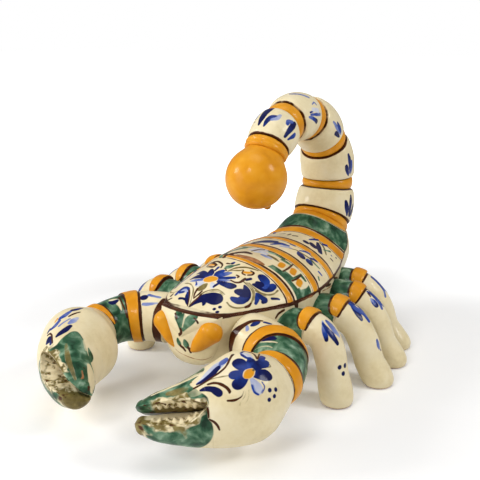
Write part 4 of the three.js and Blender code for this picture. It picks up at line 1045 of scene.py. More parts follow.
# %% Banded back
d, angle, grid = back_shell(lambda angle: SHIELD_END + HALF_SEAM + 0 * angle, BODY_END, 261)
paint = paint_back(grid, d, angle)
banded_back = skin("banded_back", "abdomen_back", "painted_cream_glaze", grid, paint, caps=True)
print("banded back:", len(banded_back.data.vertices), "points")

# %% [markdown]
# ## Belly and face
# The lower shell carries the face. Its rows start at the nose and open into the dome; behind the front edge
# the lower half of each row is the outside of the belly, and the upper half turns into the inside of its
# wall. A brown line marks the crease, short brown bars run down from the bands, and a pair of leaves hangs
# on the face. Face and belly could be two skins, but one leaves no seam between them.

# %% Marks on the face and the belly
FACE_MARKS = [
    ("flat green", [(177.5, 312, 5), (178.6, 316, 9.4), (180, 322, 7.2), (181, 330, 3.4)]),
    ("flat green", [(183.6, 313.5, 2), (183.6, 318, 4.6), (182.6, 324, 3.6), (181.6, 330, 2)]),
    ("flat green", [(195, 316.8, 5.6), (190.8, 319.4, 10), (187, 323.6, 8.8), (183, 330, 3.8)]),
    ("bare", [(185.4, 314.5, 1.4), (184, 320, 1.2), (182.4, 327, 0.6)]),
    ("brown", [(175.3, 313.4, 1.2), (176.6, 318, 1.4)]),
    ("brown", [(194, 318, 0.8), (197.8, 323, 1.3)]),
    ("brown", [(180.6, 329, 1.6), (180.6, 333.5, 1.6), (180.8, 337, 1)]),
    ("green", [(178, 339, 1.6), (179, 342.5, 2.8), (180.6, 345.5, 1)]),
    ("green", [(185, 341, 2.6), (186, 344.3, 4.4), (187.2, 347.5, 1.6)]),
    ("brown", [(180.6, 345.5, 1), (183.4, 348, 1), (185.2, 350.4, 0.7)]),
    ("brown", [(188, 347.4, 1), (190, 350, 2), (190.6, 352.3, 1)]),
    ("clay", [(176, 349, 0.6), (186, 355.6, 0.6), (195, 359, 0.7), (206, 359.3, 0.8), (212, 356.6, 0.6)]),
]
BELLY_MARKS = [
    ("brown", [(296.6, 303, 3), (297, 307, 2.4)]),
    ("brown", [(319.6, 290, 2), (319.5, 294, 1.6)]),
    ("clay", [(300, 302, 1.4), (306, 298.6, 1.6), (313, 295.5, 1.4)]),
    ("brown", [(326, 286, 1.8), (331, 284.4, 1.4)]),
    ("brown", [(334, 278, 1.8), (337, 279, 2.2), (338, 282, 1.4)]),
    ("clay", [(322, 291, 1.2), (328, 288.4, 1.4), (333, 285, 1.2)]),
    ("brown", [(275.5, 318, 1), (278.5, 313.5, 1.2), (284, 310, 1)]),
]
FACE_STROKES = Sight(face, (86, 0), (0, 360)).strokes(FACE_MARKS)
BELLY_STROKES = Sight(belly, (0, BODY_END), (90.2, 269.8)).strokes(BELLY_MARKS)
print("strokes on the face and belly:", len(FACE_STROKES), "and", len(BELLY_STROKES))

# %% Belly and face
LOWER = 90.1, 269.9  # the belly's angles, a hair's seam below the back
CREASE_LINE, CREASE_END, FACE_LINE = 1.1, 150.0, 3.5
turn = np.arange(0, 360, 1.0)
lower = (turn >= 90) & (turn <= 270)
lean, angle = grid_of(np.linspace(87, 0, 70), turn)
dome = uneven(face, lean, angle)
d, angle = grid_of(np.linspace(0.4, BODY_END, 200), turn)
lowered = np.clip(angle, *LOWER)
share = np.where(angle < 90, 90 - angle, 450 - angle) / 180  # of the way back along the inside
returning = LOWER[0] + (LOWER[1] - LOWER[0]) * share
wall = np.where(lower[None, :, None], uneven(belly, d, lowered), belly(d, returning, -WALL))
grid = np.concatenate([dome, wall])
paint = Paint(grid)
below = np.minimum(np.abs(angle - 90), np.abs(angle - 270))
crease = np.where(lower & (d < CREASE_END), CREASE_LINE - 0.7 * below, -FAR)
edge = np.where(lower, -FAR, FACE_LINE - np.radians(lean) * NOSE)
paint.wash("brown", np.concatenate([edge, crease]))
paint.strokes(face, FACE_STROKES)
for side in (1, -1):
    paint.strokes(belly, BELLY_STROKES, lambda v: 180 + side * (v - 180))
nose = np.array([0, FRONT_Y - NOSE, FACE_Z])
belly_and_face = skin("belly_and_face", "belly_shell", "painted_cream_glaze", grid, paint, tips=(nose, None))
print("belly and face:", len(belly_and_face.data.vertices), "points")

# %% [markdown]
# ## Mouth bosses
# Two pear-shaped lumps of clay are pressed on the face, wide at the top and meeting in the middle below.
# A stretched sphere would be too even, so a ring that narrows is carried along a short line.

# %% Mouth bosses
FACE_HALF, FACE_TOP, FACE_DEEP = 23.5, 16.5, 23.0  # half width of the face, its heights above and below
BOSS_SINK, BOSS_WIDE, BOSS_TAPER = 1.5, 8.0, 4.2
BOSS_HEAD, BOSS_FOOT = 0.42, 0.5  # how far the ends round off, as shares of the line


def on_face(x, z):
    """A point a little behind the dome of the face, an ellipsoid, at a place across it and a height."""
    out = np.hypot(x / FACE_HALF, (z - FACE_Z) / (FACE_TOP if z > FACE_Z else FACE_DEEP))
    return np.array([x, FRONT_Y - NOSE * np.sqrt(1 - min(out, 0.95) ** 2) + BOSS_SINK, z])


boss_top, boss_foot = on_face(18.3, 52.7), on_face(7.2, 39.5)
boss_line = Line([boss_top, (2 * boss_top + boss_foot) / 3, (boss_top + 2 * boss_foot) / 3, boss_foot], Y)


def boss(t, angle, swell=0.0):
    """A pear: its radius narrows along the line, and both ends are closed by a quarter ellipse."""
    t = np.asarray(t, float)
    close = np.maximum(np.maximum(-t / BOSS_HEAD, (t - 0.6) / BOSS_FOOT), 0)
    radius = BOSS_WIDE - BOSS_TAPER * np.clip(t, 0, 1) + swell
    return boss_line.ring(t, angle, radius * np.sqrt(np.maximum(1 - close**2, 0)))


t, angle = grid_of(0.34 - 0.758 * np.cos(np.linspace(0.05, np.pi - 0.05, 60)), TURN)
grid = uneven(boss, t, angle, amount=0.25)
ends = tuple(boss(np.array([-BOSS_HEAD, 0.6 + BOSS_FOOT]), 0.0))
for hand in ("left", "right"):
    skin(f"pear_boss_{hand}", f"mouth_boss_{hand}", "ochre_glaze", grid, None, ends, mirror=hand == "left")
print("boss", round(boss_line.length, 1), "mm between its middles")

# %% [markdown]
# ## Tail
# Beads, the coils in their grooves and the collar are rings along the arc, each with a bore. The painter
# turns the tail slowly and pulls a brown line along the rim of each bead, heavy on one side of a groove and
# thin on the other, then sets sprays of blue petals on the cream. A Bevel modifier could round the rims.
# Here a quarter circle in the profile does it, and the brown line keeps its distance to the rim.

# %% Marks on the tail
TAIL_MARKS = [
    ("blue", 1, 1, [(258.5, 124, 1.2), (261.5, 118.5, 3), (266, 112, 4), (270, 107.6, 4.4),
        (271.4, 106.2, 3)]),
    ("blue", 0.9, 0.8, [(263.5, 125.5, 1.2), (267, 120.5, 3), (271.5, 117.3, 3.5), (276.5, 117.5, 3)]),
    ("blue", 0.45, 0.3, [(272, 119.6, 1.4), (277, 118.6, 2.4), (280.5, 115, 1.6)]),
    ("blue", 0.75, 0.7, [(255, 117, 1.4), (257, 114, 2.4)]),
    ("blue", 0.7, 0.7, [(254.6, 122, 1)]),
    ("blue", 0.9, 0.95, [(285.5, 136.5, 2), (289, 131, 4), (293, 126, 5), (295.8, 123.3, 3.4)]),
    ("blue", 0.65, 0.55, [(287.5, 124, 2.5), (289, 121.5, 3.5), (293, 121.5, 2)]),
    ("blue", 0.75, 0.65, [(288.5, 139.5, 1.5), (293, 136.5, 3), (295, 134.5, 2)]),
    ("blue", 0.6, 0.5, [(290, 93.6, 0.8), (297, 93.6, 1.2), (304, 95.3, 1.2), (308.5, 97.3, 0.8)]),
    ("blue", 0.5, 1, [(310, 117, 1.5), (314, 119, 2.5), (316.5, 121.5, 3.2)]),
    ("blue", 0.65, 0.55, [(311, 114.8, 1), (316, 114.5, 2.5), (320.4, 114.3, 2.8)]),
    ("blue", 0.9, 0.6, [(310.5, 112.5, 1.1), (314, 111, 0.9)]),
    ("blue", 0.5, 0.4, [(312, 104.5, 0.7), (314, 102.5, 0.9), (316, 104.5, 0.7)]),
    ("blue", 0.1, 0.1, [(313, 109.5, 3), (318, 110.5, 3.4)]),
    ("blue", 0.5, 0.5, [(334, 122, 1), (337, 127.5, 2.2), (341, 133.5, 1.5)]),
    ("blue", 0.75, 0.7, [(337.5, 122.6, 0.8), (339.6, 127.5, 1.8), (341.4, 131.5, 1)]),
    ("blue", 1, 1, [(336, 133.3, 3.4), (338.5, 135.5, 2.8), (340.6, 137.6, 1)]),
    ("blue", 1, 0.9, [(346.5, 166.5, 2.2), (347.5, 170, 3), (349.5, 176.3, 1)]),
    ("blue", 0.9, 0.8, [(348.6, 154.8, 1), (349.6, 160, 2.2), (350.3, 167, 1.8), (350.8, 173, 0.8)]),
    ("blue", 0.65, 0.6, [(351.6, 161, 0.8), (352, 168, 1), (351.6, 175.6, 0.6)]),
    ("blue", 1, 0.85, [(346, 202, 2), (347, 208, 3), (347.7, 215, 1)]),
    ("blue", 0.95, 0.9, [(351.4, 196, 1.2), (350.9, 202, 2.2), (350, 210, 1.5), (349.5, 216, 0.8)]),
    ("blue", 0.95, 0.9, [(353, 205, 1), (352, 211, 1.8), (350.5, 216.3, 0.8)]),
]


def on_bead(rise, angle):
    """The row of beads without its grooves."""
    return tail(rise, angle, bead_radius(rise) + SWELL)


TAIL_STROKES = Sight(on_bead, (50, 226), (-180, 180)).strokes(TAIL_MARKS)
repeated = [row for row in TAIL_STROKES if 60 < row[3][0][1] < 125]  # sprays that the far side repeats
print("strokes on the tail:", len(TAIL_STROKES), "of which the far side repeats", len(repeated))

# %% Beads and coils
LINES = [(1.2, 0.6), (0.7, 0.7), (0.3, 0.3), (0.3, 0.3), (0.3, 0.8)]  # brown on a bead's lower and upper rim
FINE_TURN = np.arange(0, 360, 1.5)
TAIL_LUMPS, COIL_BOW, BORE = 15.0, 2.1, 0.6


def tube(rises, radii, bore, turns=TURN):
    """Rows of rings up the outside and back through the bore, with the hand's unevenness on the outside."""
    rise, angle = grid_of(rises, turns)
    plain = tail(rise, angle, np.asarray(radii)[:, None])
    swell = 0.4 * lumps(plain, TAIL_LUMPS, 1) + FINE_SHARE * lumps(plain, FINE_LUMPS, 2)
    outside = tail(rise, angle, np.asarray(radii)[:, None] + swell)
    return np.concatenate([outside, tail(np.linspace(rises[-1], rises[0], 5)[:, None], angle, bore)])


def bead(low, high):
    """A bead's rises and radii: they swell by a sine, and the rims are rounded by a quarter circle."""
    rises = low + (high - low) * (0.5 - 0.5 * np.cos(np.linspace(0, np.pi, 91)))
    edge = np.minimum(1, np.minimum(rises - low, high - rises) / degrees_of(2 * RIM))
    swell = SWELL * np.sin(np.pi * (rises - low) / (high - low))
    return rises, bead_radius(rises) + swell - RIM * (1 - np.sqrt(1 - (1 - edge) ** 2))


def spray(root):
    """Three petals on the outer side, out of the photograph's sight."""
    fan = [((root, 180, 1), (root + 9, 180 + turn, 3), (root + 14, 180 + 1.4 * turn, 1.4))
           for turn in (-12, 0, 12)]
    return [("blue", 0.9, 0.7, petal) for petal in fan]


half = COIL / 2 + 0.7  # of a coil, in degrees up the arc
bow = np.linspace(-1, 1, 21)
for i, middle in enumerate(BEAD_ENDS[:5]):
    begin = TAIL_SEAT + degrees_of(SEAM) if i == 0 else middle - half
    rises = np.linspace(begin, middle + half, len(bow))
    bore = BORE * bead_radius(middle)
    grid = tube(rises, bead_radius(middle) - GROOVE + COIL_BOW * np.sqrt(1 - 0.98 * bow**2), bore)
    skin(f"groove_coil_{i + 1}", f"tail_coil_{i + 1}", "ochre_glaze", grid, None, loop_rows=True)
    low = middle + half + degrees_of(SEAM)
    high = BEAD_ENDS[i + 1] - (half if i < 4 else 0) - degrees_of(SEAM)
    rises, radii = bead(low, high)
    grid = tube(rises, radii, bore, FINE_TURN)
    paint = Paint(grid)
    up = np.concatenate([rises, np.linspace(high, low, 5)])[:, None]
    for line, away in zip(LINES[i], (up - low, high - up)):
        paint.wash("brown", line - away * np.radians(1) * ARC)
    paint.strokes(on_bead, TAIL_STROKES)
    paint.strokes(on_bead, repeated, lambda v: -v)
    if i < 3:
        paint.strokes(on_bead, spray(low + 0.25 * (high - low)))
    skin(f"bead_{i + 1}", f"tail_bead_{i + 1}", "painted_cream_glaze", grid, paint, loop_rows=True)
print("beads from", np.round(bead_radius(BEAD_ENDS[[0, 5]]), 1), "mm in radius")

# %% Collar, ball and sting
COLLAR_FOOT, COLLAR_BOW, COLLAR_BORE, THUMB_GROOVE = 13.5, 3.1, 9.0, 0.8
STING_LEAN, STING_RADIUS, STING_SUNK = np.radians(56), 4.2, 0.25
bow = np.linspace(0, np.pi, 33)
rises = BEAD_ENDS[5] + degrees_of(COLLAR) * (1 - np.cos(bow)) / 2
collar = COLLAR_FOOT + COLLAR_BOW * np.sin(bow) - THUMB_GROOVE * np.exp(-(((bow - 1.7) / 0.35) ** 2))
skin("collar", "tail_collar", "ochre_glaze", tube(rises, collar, COLLAR_BORE), loop_rows=True)

lean, angle = grid_of(np.linspace(np.degrees(np.arcsin(BULB_NECK / BULB)), 178.5, 130), FINE_TURN)
neck_swell = 1.4 * np.clip((58 - lean) / 20, 0, 1) ** 2  # a soft shoulder under the collar
plain = bulb(lean, angle)
hand_swell = 0.25 * lumps(plain, ROUGH_LUMPS, 1) + 0.05 * lumps(plain, FINE_LUMPS, 2)
round_ball = bulb(lean, angle, neck_swell + hand_swell)
neck = round_ball[0] - (round_ball[0] - bulb_seat) @ bulb_along[:, None] * bulb_along
ends = bulb_seat, bulb(np.array(180.0), 0.0)
skin("ball", "telson_bulb", "ochre_glaze", np.concatenate([neck[None], round_ball]), None, ends)

sting_run = np.array([0, np.cos(STING_LEAN), -np.sin(STING_LEAN)])
sting_line = Line([bulb_middle + (BULB + 0.5 + STING * k) * sting_run for k in (0, 1 / 3, 2 / 3, 1)], X)
taper = np.array([1, 0.95, 0.8, 0.5, 0.2])
sting_radius = smooth_curve((-STING_SUNK, 0.2, 0.6, 0.9, 1), STING_RADIUS * taper)
t, angle = grid_of(np.linspace(-STING_SUNK, 1, 40), TURN)
grid = sting_line.ring(t, angle, sting_radius(t))
paint = Paint(grid)
paint.wash("yellow", (0.75 - t) * STING)
ends = tuple(sting_line.at(np.array([-STING_SUNK, 1.02]))[0])
skin("pinched_sting", "sting", "brown_glaze", grid, paint, ends)
print("ball", 2 * BULB, "mm across, sting", STING, "mm long")

# %% [markdown]
# ## Legs
# Each leg is one roll of clay with a strip of ochre clay pressed over its thigh, broad on top and pointed at
# both ends. The painter edges the strip in brown, fills the hip with green and leaves a spray of petals on
# the knee. The strip could be a ribbon with a thickness; a rounded section that fades past its span is
# chosen, because it gives the pointed ends as well.

# %% Marks on the legs
LEG_MARKS = [
    [
        ("blue", 0.3, 1, [(322.6, 321, 1), (323.6, 329, 3), (325.4, 335, 4), (326.4, 340, 3.4)]),
        ("blue", 0.8, 1, [(323, 323.5, 1.2), (328, 330, 3), (333, 336.5, 4), (337.4, 343.3, 2.4)]),
        ("blue", 0.6, 0.4, [(326.6, 321, 1.2), (331, 325.5, 2.6), (335, 330.5, 2.6), (339, 336, 1)]),
        ("blue", 1, 1, [(339.8, 367.2, 3.8)]),
        ("blue", 1, 1, [(345, 365.4, 3.4)]),
        ("blue", 1, 1, [(343.5, 373.6, 3.5)]),
    ],
    [
        ("blue", 0.85, 0.9, [(350, 301.5, 1), (354, 307.5, 3.5), (358, 313.5, 4), (361.5, 319.3, 2)]),
        ("blue", 0.6, 0.6, [(351.6, 300.6, 1), (358, 306.5, 2.2), (364, 313.5, 2.5), (369, 320, 1.5)]),
        ("blue", 0.6, 0.5, [(377.3, 341, 1.8), (378.3, 345, 2.4), (379.2, 348, 1.2)]),
        ("blue", 1, 1, [(380.6, 349.8, 1.8)]),
    ],
    [
        ("blue", 0.75, 0.65, [(369, 290, 1), (374, 295, 2.5), (379, 300.5, 2.5), (384, 305.6, 1)]),
        ("blue", 0.4, 1, [(371, 299, 1.2), (374, 302, 3.5), (376.5, 305, 3.4)]),
        ("brown", [(368.5, 293.5, 0.8), (370.5, 296, 0.8)]),
    ],
    [
        ("blue", 0.7, 0.6, [(372, 277, 1), (378, 282.5, 2), (383.5, 288.5, 1.5), (387, 292.5, 0.8)]),
    ],
]
print("strokes on each leg:", [len(marks) for marks in LEG_MARKS])

# %% Strips of clay
STRIP_EDGE, STRIP_SUNK, STRIP_STEP = 0.4, 1.5, 7.5  # roundness, depth into the limb, degrees in its section


class Strap:
    """A flat strip of clay round a limb. It is full within a span of angles about its middle and fades to
    nothing past it, its ends lean along the limb, and a tilted one lies askew on it."""

    def __init__(self, line, radius_at, t, width, proud, middle=0.0, span=1e6, skew=0.0, tilt=0.0):
        self.line, self.radius_at, self.t, self.width = line, radius_at, t, width
        self.proud, self.middle, self.span, self.skew, self.tilt = proud, middle, span, skew, tilt

    def full(self, angle):
        """1 at the strip's middle and nought past its span: the root of one less the fourth power."""
        off = (np.mod(angle - self.middle + 180, 360) - 180) / self.span
        return np.sqrt(np.maximum(1 - off**4, 0))

    def edges(self, angle):
        """Where the strip's middle lies along the limb, and half its width there, both in millimetres."""
        full = self.full(angle)
        t = self.t + self.skew * (1 - full) + self.tilt * np.sin(np.radians(angle))
        return t * self.line.length, 0.5 * self.width * full

    def grid(self, before, after):
        """Its skin: a rounded box for a section, cosine across the strip and sine away from the limb, with
        brown on its two rims, so many millimetres wide."""
        a, angle = grid_of(np.radians(np.arange(0, 360, STRIP_STEP)), TURN)
        middle, half = self.edges(angle)
        wide, high = (np.sign(f) * np.abs(f) ** 0.6 for f in (np.cos(a), np.sin(a)))
        t = (middle - (half + STRIP_EDGE) * wide) / self.line.length
        proud = self.proud * self.full(angle) - 0.9 * (self.full(angle) < 0.05)
        out = self.radius_at(t) + np.where(high > 0, proud, STRIP_SUNK) * high
        ring = self.line.ring(t, angle, out)
        ring = self.line.ring(t, angle, out + 0.3 * lumps(ring, 9.0, 1) * (high > 0))
        paint = Paint(ring)
        paint.wash("brown", np.where(wide > 0, before, after) - (half + STRIP_EDGE) * (1 - np.abs(wide)))
        return ring, paint

    def edged(self, paint, t, angle, line):
        """A brown line on the limb along both edges of the strip."""
        middle, half = self.edges(angle)
        off = np.abs(t * self.line.length - middle) - half
        paint.wash("brown", np.where(self.full(angle) > 0.2, line / 2 - np.abs(off - line / 2 + 0.3), -FAR))


print("a strip's section has", round(360 / STRIP_STEP), "points")

# %% Legs
STRIP_AT, STRIP_WIDE, STRIP_PROUD = (0.292, 0.292, 0.33, 0.292), 8.4, 1.7
STRIP_MIDDLE, STRIP_SPAN, STRIP_SKEW = 90.0, 80.0, 0.03
HIP_LINE, SOLE_CLAY = 2.2, 1.2  # the brown line beside the strip, and the height of bare clay at the sole
t, angle = grid_of(np.linspace(0.05, 1, 120), np.arange(0, 360, 2.5))
for i, (line, marks, strip_at) in enumerate(zip(leg_lines, LEG_MARKS, STRIP_AT)):
    def on_leg(t, angle, swell=0.0):
        """This leg's own surface."""
        return leg(line, t, angle, swell)

    table = Sight(on_leg, (0.06, 0.97), (-90, 270)).strokes(marks)
    strap = Strap(line, leg_radius, strip_at, STRIP_WIDE, STRIP_PROUD, STRIP_MIDDLE, STRIP_SPAN, STRIP_SKEW)
    grid = uneven(on_leg, t, angle)
    paint = Paint(grid)
    middle, half = strap.edges(angle)
    upper = 14 * np.sin(np.radians(angle - 20)) + 4
    paint.wash("green", np.minimum(middle - half - 0.8 - t * line.length, upper))
    strap.edged(paint, t, angle, HIP_LINE)
    paint.wash("clay", SOLE_CLAY - grid[..., 2])
    paint.strokes(on_leg, table)
    paint.strokes(on_leg, table[:2], lambda v: 165 - v)  # the leg's rear repeats the first petals
    ends = grid[0].mean(axis=0), grid[-1].mean(axis=0)
    for hand in ("left", "right"):
        own, left = f"{hand}_{i + 1}", hand == "left"
        skin(f"rolled_leg_{own}", f"leg_{own}", "painted_cream_glaze", grid, paint, ends, mirror=left)
        strip = strap.grid(0.7, 0.3)
        skin(f"thigh_strip_{own}", f"leg_band_{own}", "ochre_glaze", *strip, loop_rows=True, mirror=left)
print("legs:", 2 * len(leg_lines))

# %% [markdown]
# ## Arms and claws
# The arm is two short tubes with a broad strip of clay between them, and a second strip lies over the wrist
# and runs out on its inner side. A brown line marks the arm's root and the edges of the strips. One tube
# could serve, but the joint under the strip parts the cream glaze from the green one.

# %% Marks on the arms
RIGHT_ARM_MARKS = [
    ("flat brown", [(229, 351.5, 6.4), (230, 344, 6.8), (232.4, 336.5, 6.6), (237, 330, 5.4),
        (243.5, 325, 4), (250.5, 321.5, 2.8), (256.5, 320.4, 2), (262, 320.8, 1.4)]),
    ("blue", 0.4, 0.4, [(246.6, 326.3, 2.4), (247, 329, 3.4)]),
    ("blue", 0.9, 0.9, [(251.5, 325, 1.5), (255.5, 323.3, 3), (259, 322, 1)]),
    ("blue", 0.9, 0.8, [(264.5, 322, 1), (268, 322.8, 1.5), (271, 323.5, 0.8)]),
    ("blue", 1, 1, [(260, 340.5, 2), (265, 338.5, 3.8), (270, 338, 4), (275, 338.3, 1.5)]),
    # painted highlight: two cream streaks across the green forearm
    ("cream", [(254, 343.5, 1.6), (260, 341.6, 2.6), (268, 341.4, 2.4), (277, 342.5, 1.4)]),
    ("cream", [(255, 349.5, 1), (263, 346.4, 1.4), (272, 347.6, 1.2)]),
]
LEFT_ARM_MARKS = [
    ("brown", [(163.5, 299.5, 2.5), (158, 309, 5), (155.5, 322, 5.5), (156.5, 334, 6), (160, 342, 4)]),
    ("brown", [(136.5, 292.5, 1.5), (138.8, 300, 2.2), (139.5, 312, 2), (139.2, 322, 1.2)]),
    ("blue", 1, 1, [(141.6, 297.5, 2.5), (144, 297.2, 3.5), (146, 296.8, 2)]),
    ("blue", 0.4, 0.3, [(143, 303.8, 2), (148, 303.8, 2.6), (157, 303, 1)]),
    ("blue", 0.55, 0.5, [(149, 294.8, 1.5), (154, 296, 1.1), (160, 297.3, 1)]),
    ("blue", 1, 1, [(110, 302.3, 1.5), (113, 302.5, 3), (116.5, 300.8, 2)]),
    ("cream", [(110, 300, 2), (116, 300.5, 5), (119.5, 305, 4.4), (121.5, 310, 2)]),
    ("brown", [(118.7, 297, 0.8), (122, 303, 1.1), (125, 310, 1.2), (127, 317, 0.9)]),
]
ARM_STROKES = {
    hand: Sight(arm, (0.08, 0.999), (-180, 180), hand == "left").strokes(marks)
    for hand, marks in (("left", LEFT_ARM_MARKS), ("right", RIGHT_ARM_MARKS))}
print("strokes on the arms:", {hand: len(table) for hand, table in ARM_STROKES.items()})

# %% Arms
ELBOW_T, ELBOW_TILT = 0.48, -0.1  # the joint of the two tubes, and how far it lies askew
ARM_ROOT, ARM_END, ARM_SEAM, ARM_ROWS = 0.12, 0.998, 0.002, 56
ELBOW_LINE, WRIST_LINE = 2.4, 3.0


def sleeve(start, end, bore=10.0):
    """A tube from one place to another, with its bore. A place may vary round the arm."""
    share, angle = grid_of(np.concatenate([np.linspace(0, 1, ARM_ROWS), np.linspace(1, 0, 5)]), FINE_TURN)
    t = start + (end - start) * share
    outside, inside = uneven(arm, t[:ARM_ROWS], angle), arm_line.ring(t[ARM_ROWS:], angle, bore)
    return t, angle, np.concatenate([outside, inside])


arm_strap = Strap(arm_line, arm_radius, ELBOW_T, 10.2, 1.1, tilt=ELBOW_TILT)
wrist_straps = {"left": Strap(arm_line, arm_radius, 0.975, 6.5, 1.6, -75.0, 143.0),
                "right": Strap(arm_line, arm_radius, 0.995, 8.0, 1.9, -55.0, 135.0)}
elbow = ELBOW_T + ELBOW_TILT * np.sin(np.radians(FINE_TURN))
for hand, wrist_strap in wrist_straps.items():
    left = hand == "left"
    for name, node, slot, start, end in (
            ("arm_root", "upper_arm", "painted_cream_glaze", ARM_ROOT, elbow - ARM_SEAM),
            ("arm_end", "forearm", "green_glaze", elbow + ARM_SEAM, ARM_END)):
        t, angle, grid = sleeve(start, end)
        paint = Paint(grid)
        arm_strap.edged(paint, t, angle, ELBOW_LINE)
        wrist_strap.edged(paint, t, angle, WRIST_LINE)
        paint.strokes(arm, ARM_STROKES[hand])
        skin(f"{name}_{hand}", f"{node}_{hand}", slot, grid, paint, loop_rows=True, mirror=left)
    for name, node, strip in (("arm_strip", "arm_band", arm_strap.grid(0.7, 0.7)),
                              ("wrist_strip", "wrist_band", wrist_strap.grid(1.6, 0.5))):
        skin(f"{name}_{hand}", f"{node}_{hand}", "ochre_glaze", *strip, loop_rows=True, mirror=left)
print("arm", round(arm_line.length), "mm long")

# %% [markdown]
# The palm and the upper finger are one skin, and the lower finger is a second. The fingers are green with a
# ragged edge towards the palm, and their bevels are left pale and smeared with brown round the teeth. The
# tooth tops are kept paler as a painted highlight, and the brown between them is partly painted shade. The
# near palm carries a flower, the far one a row of leaves. The mottled bevels could be painted stroke by
# stroke; soft lumps are chosen, because they look as accidental as thick glaze does.

# %% Marks on the palms
RIGHT_PALM_MARKS = [
    ("flat blue", 0.8, 1, [(246.5, 370.5, 6), (241.8, 366, 11), (238.8, 363, 12.4), (237.4, 361.8, 8.5)]),
    ("flat blue", 0.75, 0.9, [(250.2, 368.5, 5), (251, 363.5, 9), (251.5, 360.8, 8.4)]),
    ("flat blue", 0.9, 0.85, [(253.5, 369.5, 5.5), (259, 364.9, 10), (264, 363, 9.6), (267, 361.8, 4.6)]),
    ("flat blue", 0.8, 1, [(254.5, 374.8, 6), (261, 374.8, 11), (266, 375, 12), (268.4, 375.4, 9)]),
    ("flat blue", 0.3, 0.15, [(252.3, 379.5, 4), (255.5, 385, 9), (257.5, 389, 11), (258, 391, 8)]),
    ("flat blue", 0.8, 1, [(245.5, 378, 6), (241, 381.8, 11), (238, 384, 11.6), (236.5, 385, 8)]),
    ("flat blue", 0.75, 0.9, [(243.5, 373.8, 5.4), (237.5, 374.2, 8.6), (233.5, 374.8, 8.6),
        (231.8, 375.2, 5.6)]),
    ("yellow", [(246, 376, 6), (249, 373.6, 10), (252, 371, 6)]),
    ("olive", [(253.3, 370.2, 2), (256, 368, 2.6)]),
    ("blue", 0.7, 0.7, [(252, 385.5, 0.8), (254.5, 392, 0.9), (258.5, 395, 0.9)]),
    ("blue", 0.8, 0.7, [(262, 382, 0.8), (264.6, 387, 1), (262.6, 393, 0.9)]),
    ("blue", 0.85, 0.7, [(259, 362.6, 2), (261.4, 359.2, 4.6), (263.2, 356.8, 3.8)]),
    ("blue", 0.9, 0.75, [(249.6, 361, 2), (249.2, 358.4, 3.8)]),
    ("blue", 0.2, 0.15, [(251, 357.4, 1.6), (246, 355.3, 4.2), (242, 353.4, 1.6)]),
    ("blue", 0.85, 0.8, [(240.5, 353, 0.8), (245, 351.7, 0.9), (250, 352.8, 0.8)]),
    ("blue", 0.85, 0.8, [(241, 354.5, 0.9), (246, 357.8, 1), (250, 358.3, 0.9)]),
    ("brown", [(250, 351.4, 0.6), (254, 354.4, 0.8), (257, 359, 0.8)]),
    ("brown", [(259.6, 353.8, 0.6), (258, 358.6, 0.7)]),
    ("olive", [(265, 367.6, 0.7), (270.5, 366.5, 0.7), (269.5, 364.3, 0.6)]),
    ("blue", 1, 1, [(270, 390.2, 3.7)]),
    ("blue", 1, 1, [(276, 389.4, 3.4)]),
    ("blue", 1, 1, [(275, 396.2, 3.4)]),
    ("blue", 1, 1, [(269.8, 399.8, 3.9)]),
    ("flat blue", 0.22, 0.22, [(197, 384.2, 1.4), (204, 378.2, 4), (211, 371.8, 7), (218, 365.2, 7.6),
        (223, 361, 5.6), (226, 358.4, 2)]),
    ("flat blue", 1, 0.95, [(197, 384.6, 1.4), (205, 380.2, 3.4), (212, 374.6, 4.6), (216.8, 369, 4.2),
        (218.6, 366.4, 2.4)]),
    ("blue", 0.55, 0.6, [(221, 363.6, 2), (224, 360.6, 4), (225.6, 358.4, 2)]),
    ("brown", [(194, 388.5, 0.7), (203, 383.6, 0.8), (212, 377.6, 1), (220, 372, 1.2), (226, 366, 1.4),
        (230, 358, 1.5), (232.5, 354.6, 2)]),
    ("olive", [(205, 382, 0.7), (212, 379, 0.7), (220, 377, 0.8), (228, 375.5, 0.8)]),
    ("brown", [(208, 384.5, 1), (214, 383, 1.3), (220, 383.8, 1.6), (226, 387, 1.9), (229.5, 391, 2.2),
        (229.6, 392.6, 1.6)]),
    ("blue", 1, 1, [(200.6, 390.5, 1.2), (206, 389, 3.4), (212, 389.2, 4.2), (216.3, 391.4, 6.2),
        (218.6, 393.2, 6.4)]),
    ("brown", [(227.5, 400.8, 1.4), (233, 400.5, 1.7), (238, 399, 1.4), (242, 396, 1.1), (244, 391, 0.8)]),
    ("olive", [(246, 391, 0.8), (245, 396, 1), (241, 402, 0.9), (240, 405, 0.8)]),
    ("olive", [(249, 390, 0.8), (248.5, 398, 0.9), (245.5, 403.5, 0.8)]),
    ("brown", [(207.6, 408, 1), (208.4, 413, 1.3), (208.6, 417.3, 1.3)]),
    ("brown", [(209.5, 419.5, 1.2), (214, 422, 1.8), (217.5, 425.5, 1.9), (219.5, 430, 1.2)]),
    # painted highlight: a bare stroke that pales the green along the upper finger's ridge
    ("bare", [(205, 371.5, 2), (193, 376.6, 3), (176, 384.2, 2.4), (159, 391.4, 2), (146, 397.2, 1.4)]),
    ("bare", [(168, 393.6, 3), (177, 391.6, 5.6), (186, 388.6, 3.4)]),
    ("bare", [(189, 395, 4), (196, 392.5, 7), (203, 390, 3.4)]),
    ("olive", [(191, 382.4, 0.8), (178, 388.3, 1), (160, 394.4, 1), (147, 399, 0.9)]),
    ("olive", [(167, 393.8, 3.6), (177, 391.6, 6.4), (187, 388.4, 4)]),
    # painted sheen: a thin cream line on the same ridge
    ("cream", [(200, 374.6, 0.8), (186, 380.8, 1.4), (170, 387.8, 1.4), (152, 395.4, 0.8)]),
]
